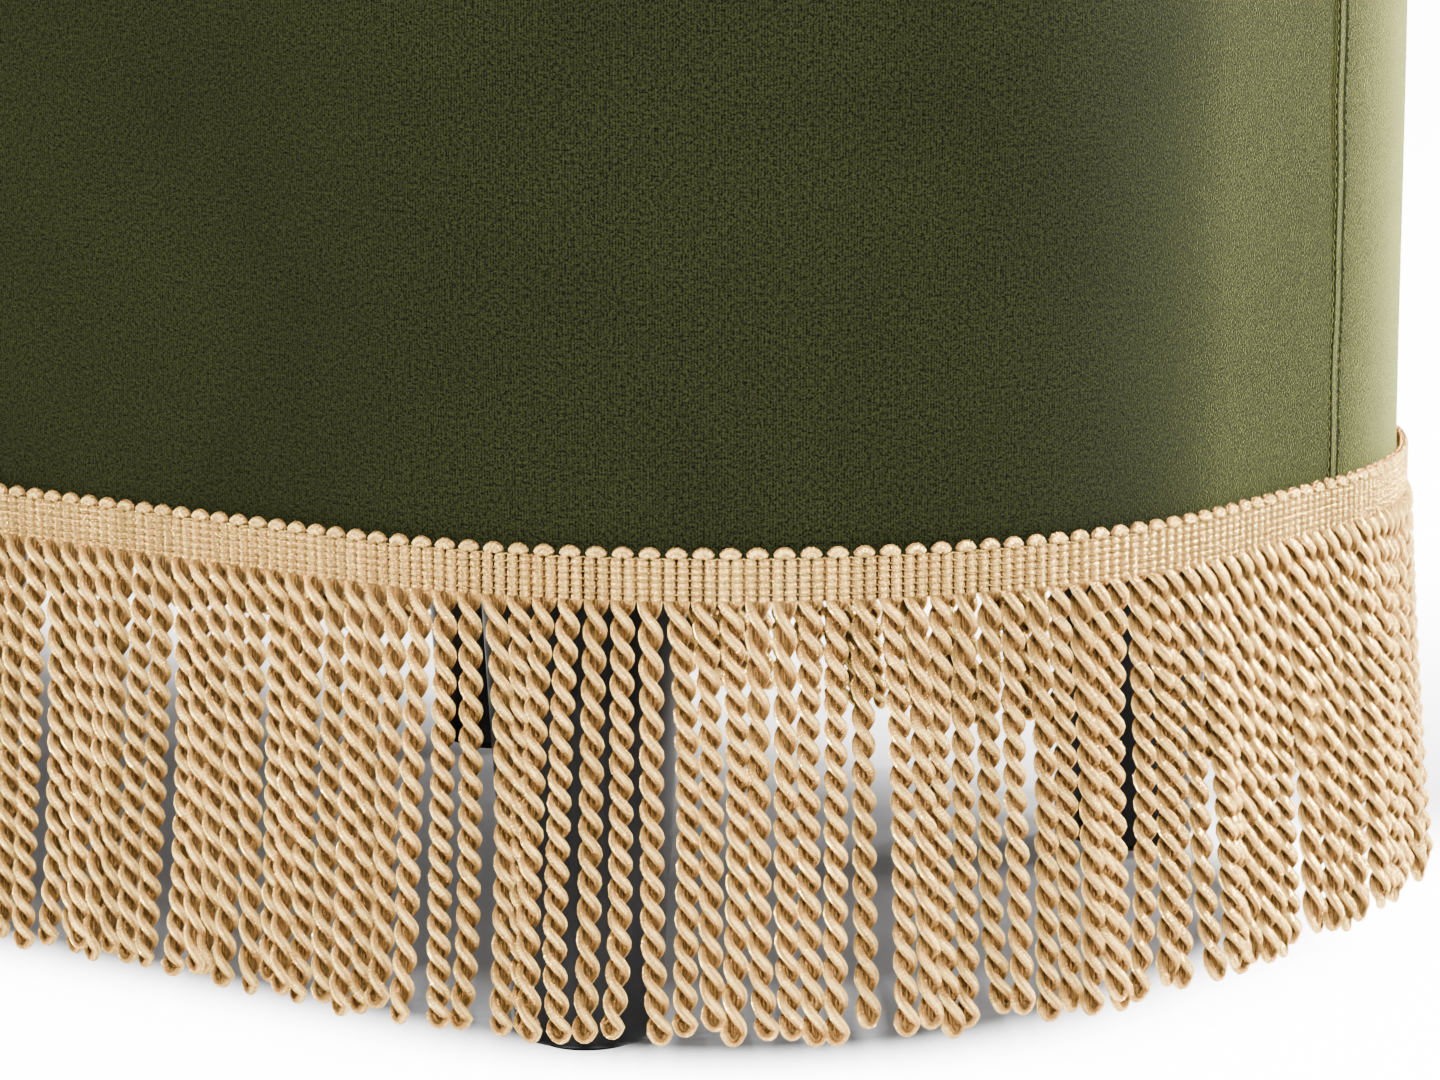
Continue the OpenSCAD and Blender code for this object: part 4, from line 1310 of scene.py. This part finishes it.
def painted_floor_shadow(tree, dark=0.09, bright=14.0):
    """Painted shadow of the bench on the floor: how brightly the floor glows by its distance beyond the
    bench's straight core, dark under the bench, with a firm edge in front of it and a slow one behind it."""
    place = coordinates(tree)
    past = vector_math(tree, "SUBTRACT", vector_math(tree, "ABSOLUTE", place), (HALF_SIDE, HALF_END, 0.0))
    reach = vector_math(tree, "LENGTH", vector_math(tree, "MAXIMUM", past, ORIGIN), output="Value")
    near_edge = map_range(tree, reach, CORNER_R - 0.057, CORNER_R - 0.005, 0.0, bright,
                          interpolation_type="SMOOTHSTEP")
    slow = math_node(tree, "POWER", math_node(tree, "DIVIDE", reach, 0.6), 1.6)
    clear = map_range(tree, reach, 0.08, 0.24, 0.0, 10.5, interpolation_type="SMOOTHSTEP")
    far_edge = math_node(tree, "MINIMUM", math_node(tree, "MULTIPLY", slow, clear), bright)
    aside = vector_math(tree, "DOT_PRODUCT", place, (0.6, -0.8, 0.0), output="Value")
    ahead = math_node(tree, "MULTIPLY", split(tree, place)[1], -1.5)
    front = map_range(tree, math_node(tree, "MAXIMUM", aside, ahead), -0.03, 0.12, 0.0, 1.0,
                      interpolation_type="SMOOTHSTEP")
    edge = math_node(tree, "MULTIPLY_ADD", math_node(tree, "SUBTRACT", near_edge, far_edge), front, far_edge)
    return math_node(tree, "ADD", edge, dark)


def floor_material(glow):
    """Pale mottled floor, which glows only to the camera, so that it doesn't light the bench; its glow is a
    painted shadow, dark under the bench and bright beyond it.
    """
    material = bpy.data.materials.new("pale_floor")
    material.use_nodes = True
    tree = material.node_tree
    tree.nodes.clear()
    patches = noise(tree, coordinates(tree), 3.0, 5.0, distortion=1.5)
    mottle = mix_colors(tree, patches, (0.86, 0.86, 0.88, 1.0), (0.92, 0.92, 0.93, 1.0))
    plain = add_node(tree, "BsdfDiffuse", {"Color": mottle})
    tinted = add_node(tree, "BsdfDiffuse", {"Color": scaled(tree, mottle, glow)})
    # The emission paints the bench's shadow on the floor.
    painted_shadow_glow = add_node(tree, "Emission", {"Strength": painted_floor_shadow(tree)})
    glowing = add_node(tree, "AddShader", {0: tinted.outputs[0], 1: painted_shadow_glow.outputs[0]})
    seen = add_node(tree, "LightPath").outputs["Is Camera Ray"]
    mixed = add_node(tree, "MixShader", {0: seen, 1: plain.outputs[0], 2: glowing.outputs[0]})
    add_node(tree, "OutputMaterial", {"Surface": mixed.outputs[0]})
    return material


def area_light(name, place, aim, size, power):
    data = bpy.data.lights.new(name, "AREA")
    data.shape = "RECTANGLE"
    data.size, data.size_y = size
    data.energy = power
    lamp = bpy.data.objects.new(name, data)
    lamp.location = place
    lamp.rotation_euler = (Vector(aim) - Vector(place)).to_track_quat("-Z", "Y").to_euler()
    bpy.context.scene.collection.objects.link(lamp)


class OTTOMAN_OT_studio(bpy.types.Operator):
    """Set up the camera, the pale floor and the soft lights"""
    bl_idname = "ottoman.studio"
    bl_label = "Studio"

    def execute(self, context):
        settings = context.scene.ottoman_studio
        self.camera(settings)
        bpy.ops.object.select_all(action="DESELECT")
        bpy.ops.mesh.primitive_plane_add(size=settings.floor_size, location=(0, 0, 0))
        floor = bpy.context.object
        floor.name = "studio_floor"
        floor.data.materials.append(floor_material(settings.floor_glow))
        self.lights(settings.light_power)
        return {"FINISHED"}

    def camera(self, settings):
        camera = bpy.data.cameras.new("camera")
        camera.lens = settings.lens
        camera.sensor_width = 36.0
        camera.clip_end = 100.0
        seat = bpy.data.objects.new("camera", camera)
        seat.location = settings.camera_place
        seat.rotation_euler = (math.pi / 2 - settings.camera_pitch, 0.0, settings.camera_yaw)
        bpy.context.scene.collection.objects.link(seat)
        bpy.context.scene.camera = seat

    def lights(self, power):
        world = bpy.data.worlds.new("studio")
        world.use_nodes = True
        background = world.node_tree.nodes["Background"]
        background.inputs["Color"].default_value = (1.0, 1.0, 1.0, 1.0)
        background.inputs["Strength"].default_value = 0.05 * power
        bpy.context.scene.world = world
        middle = (0.2, 0.0, 0.2)
        area_light("key", (1.8, -2.0, 2.9), middle, (0.25, 0.25), 1050 * power)
        area_light("front left", (-0.9, -2.6, 2.1), middle, (0.6, 0.6), 115 * power)
        area_light("rim", (1.7, 2.5, 2.1), middle, (1.0, 1.2), 1350 * power)
        area_light("top", (0.4, -0.3, 3.0), middle, (2.0, 1.6), 130 * power)


class OTTOMAN_PT_panel(bpy.types.Panel):
    bl_idname = "OTTOMAN_PT_panel"
    bl_label = "Storage bench ottoman"
    bl_space_type = "VIEW_3D"
    bl_region_type = "UI"
    bl_category = "Ottoman"

    def draw(self, context):
        for operator in OPERATORS:
            self.layout.operator(operator.bl_idname)
        for group in SETTINGS:
            settings = getattr(context.scene, group)
            box = self.layout.box()
            for name in settings.bl_rna.properties.keys():
                if name not in ("rna_type", "name"):
                    box.prop(settings, name)


SETTINGS = {
    "ottoman_cover": CoverSettings,
    "ottoman_fringe": FringeSettings,
    "ottoman_leg": LegSettings,
    "ottoman_studio": StudioSettings,
}
OPERATORS = (OTTOMAN_OT_studio, OTTOMAN_OT_frame_finish, OTTOMAN_OT_fringe, OTTOMAN_OT_side_covers,
             OTTOMAN_OT_side_seams, OTTOMAN_OT_side_padding, OTTOMAN_OT_lid, OTTOMAN_OT_legs,
             OTTOMAN_OT_dust_cover, OTTOMAN_OT_linings)


def register():
    for name, group in SETTINGS.items():
        bpy.utils.register_class(group)
        setattr(bpy.types.Scene, name, PointerProperty(type=group))
    for shown in (*OPERATORS, OTTOMAN_PT_panel):
        bpy.utils.register_class(shown)


def unregister():
    for shown in (OTTOMAN_PT_panel, *reversed(OPERATORS)):
        bpy.utils.unregister_class(shown)
    for name, group in SETTINGS.items():
        delattr(bpy.types.Scene, name)
        bpy.utils.unregister_class(group)


def main():
    register()
    make_materials(bpy.context.scene)
    bpy.ops.ottoman.studio()
    bpy.ops.ottoman.frame_finish()
    bpy.ops.ottoman.fringe()
    bpy.ops.ottoman.side_covers()
    bpy.ops.ottoman.side_seams()
    bpy.ops.ottoman.side_padding()
    bpy.ops.ottoman.lid()
    bpy.ops.ottoman.legs()
    bpy.ops.ottoman.dust_cover()
    bpy.ops.ottoman.linings()


if __name__ == "__main__":
    main()
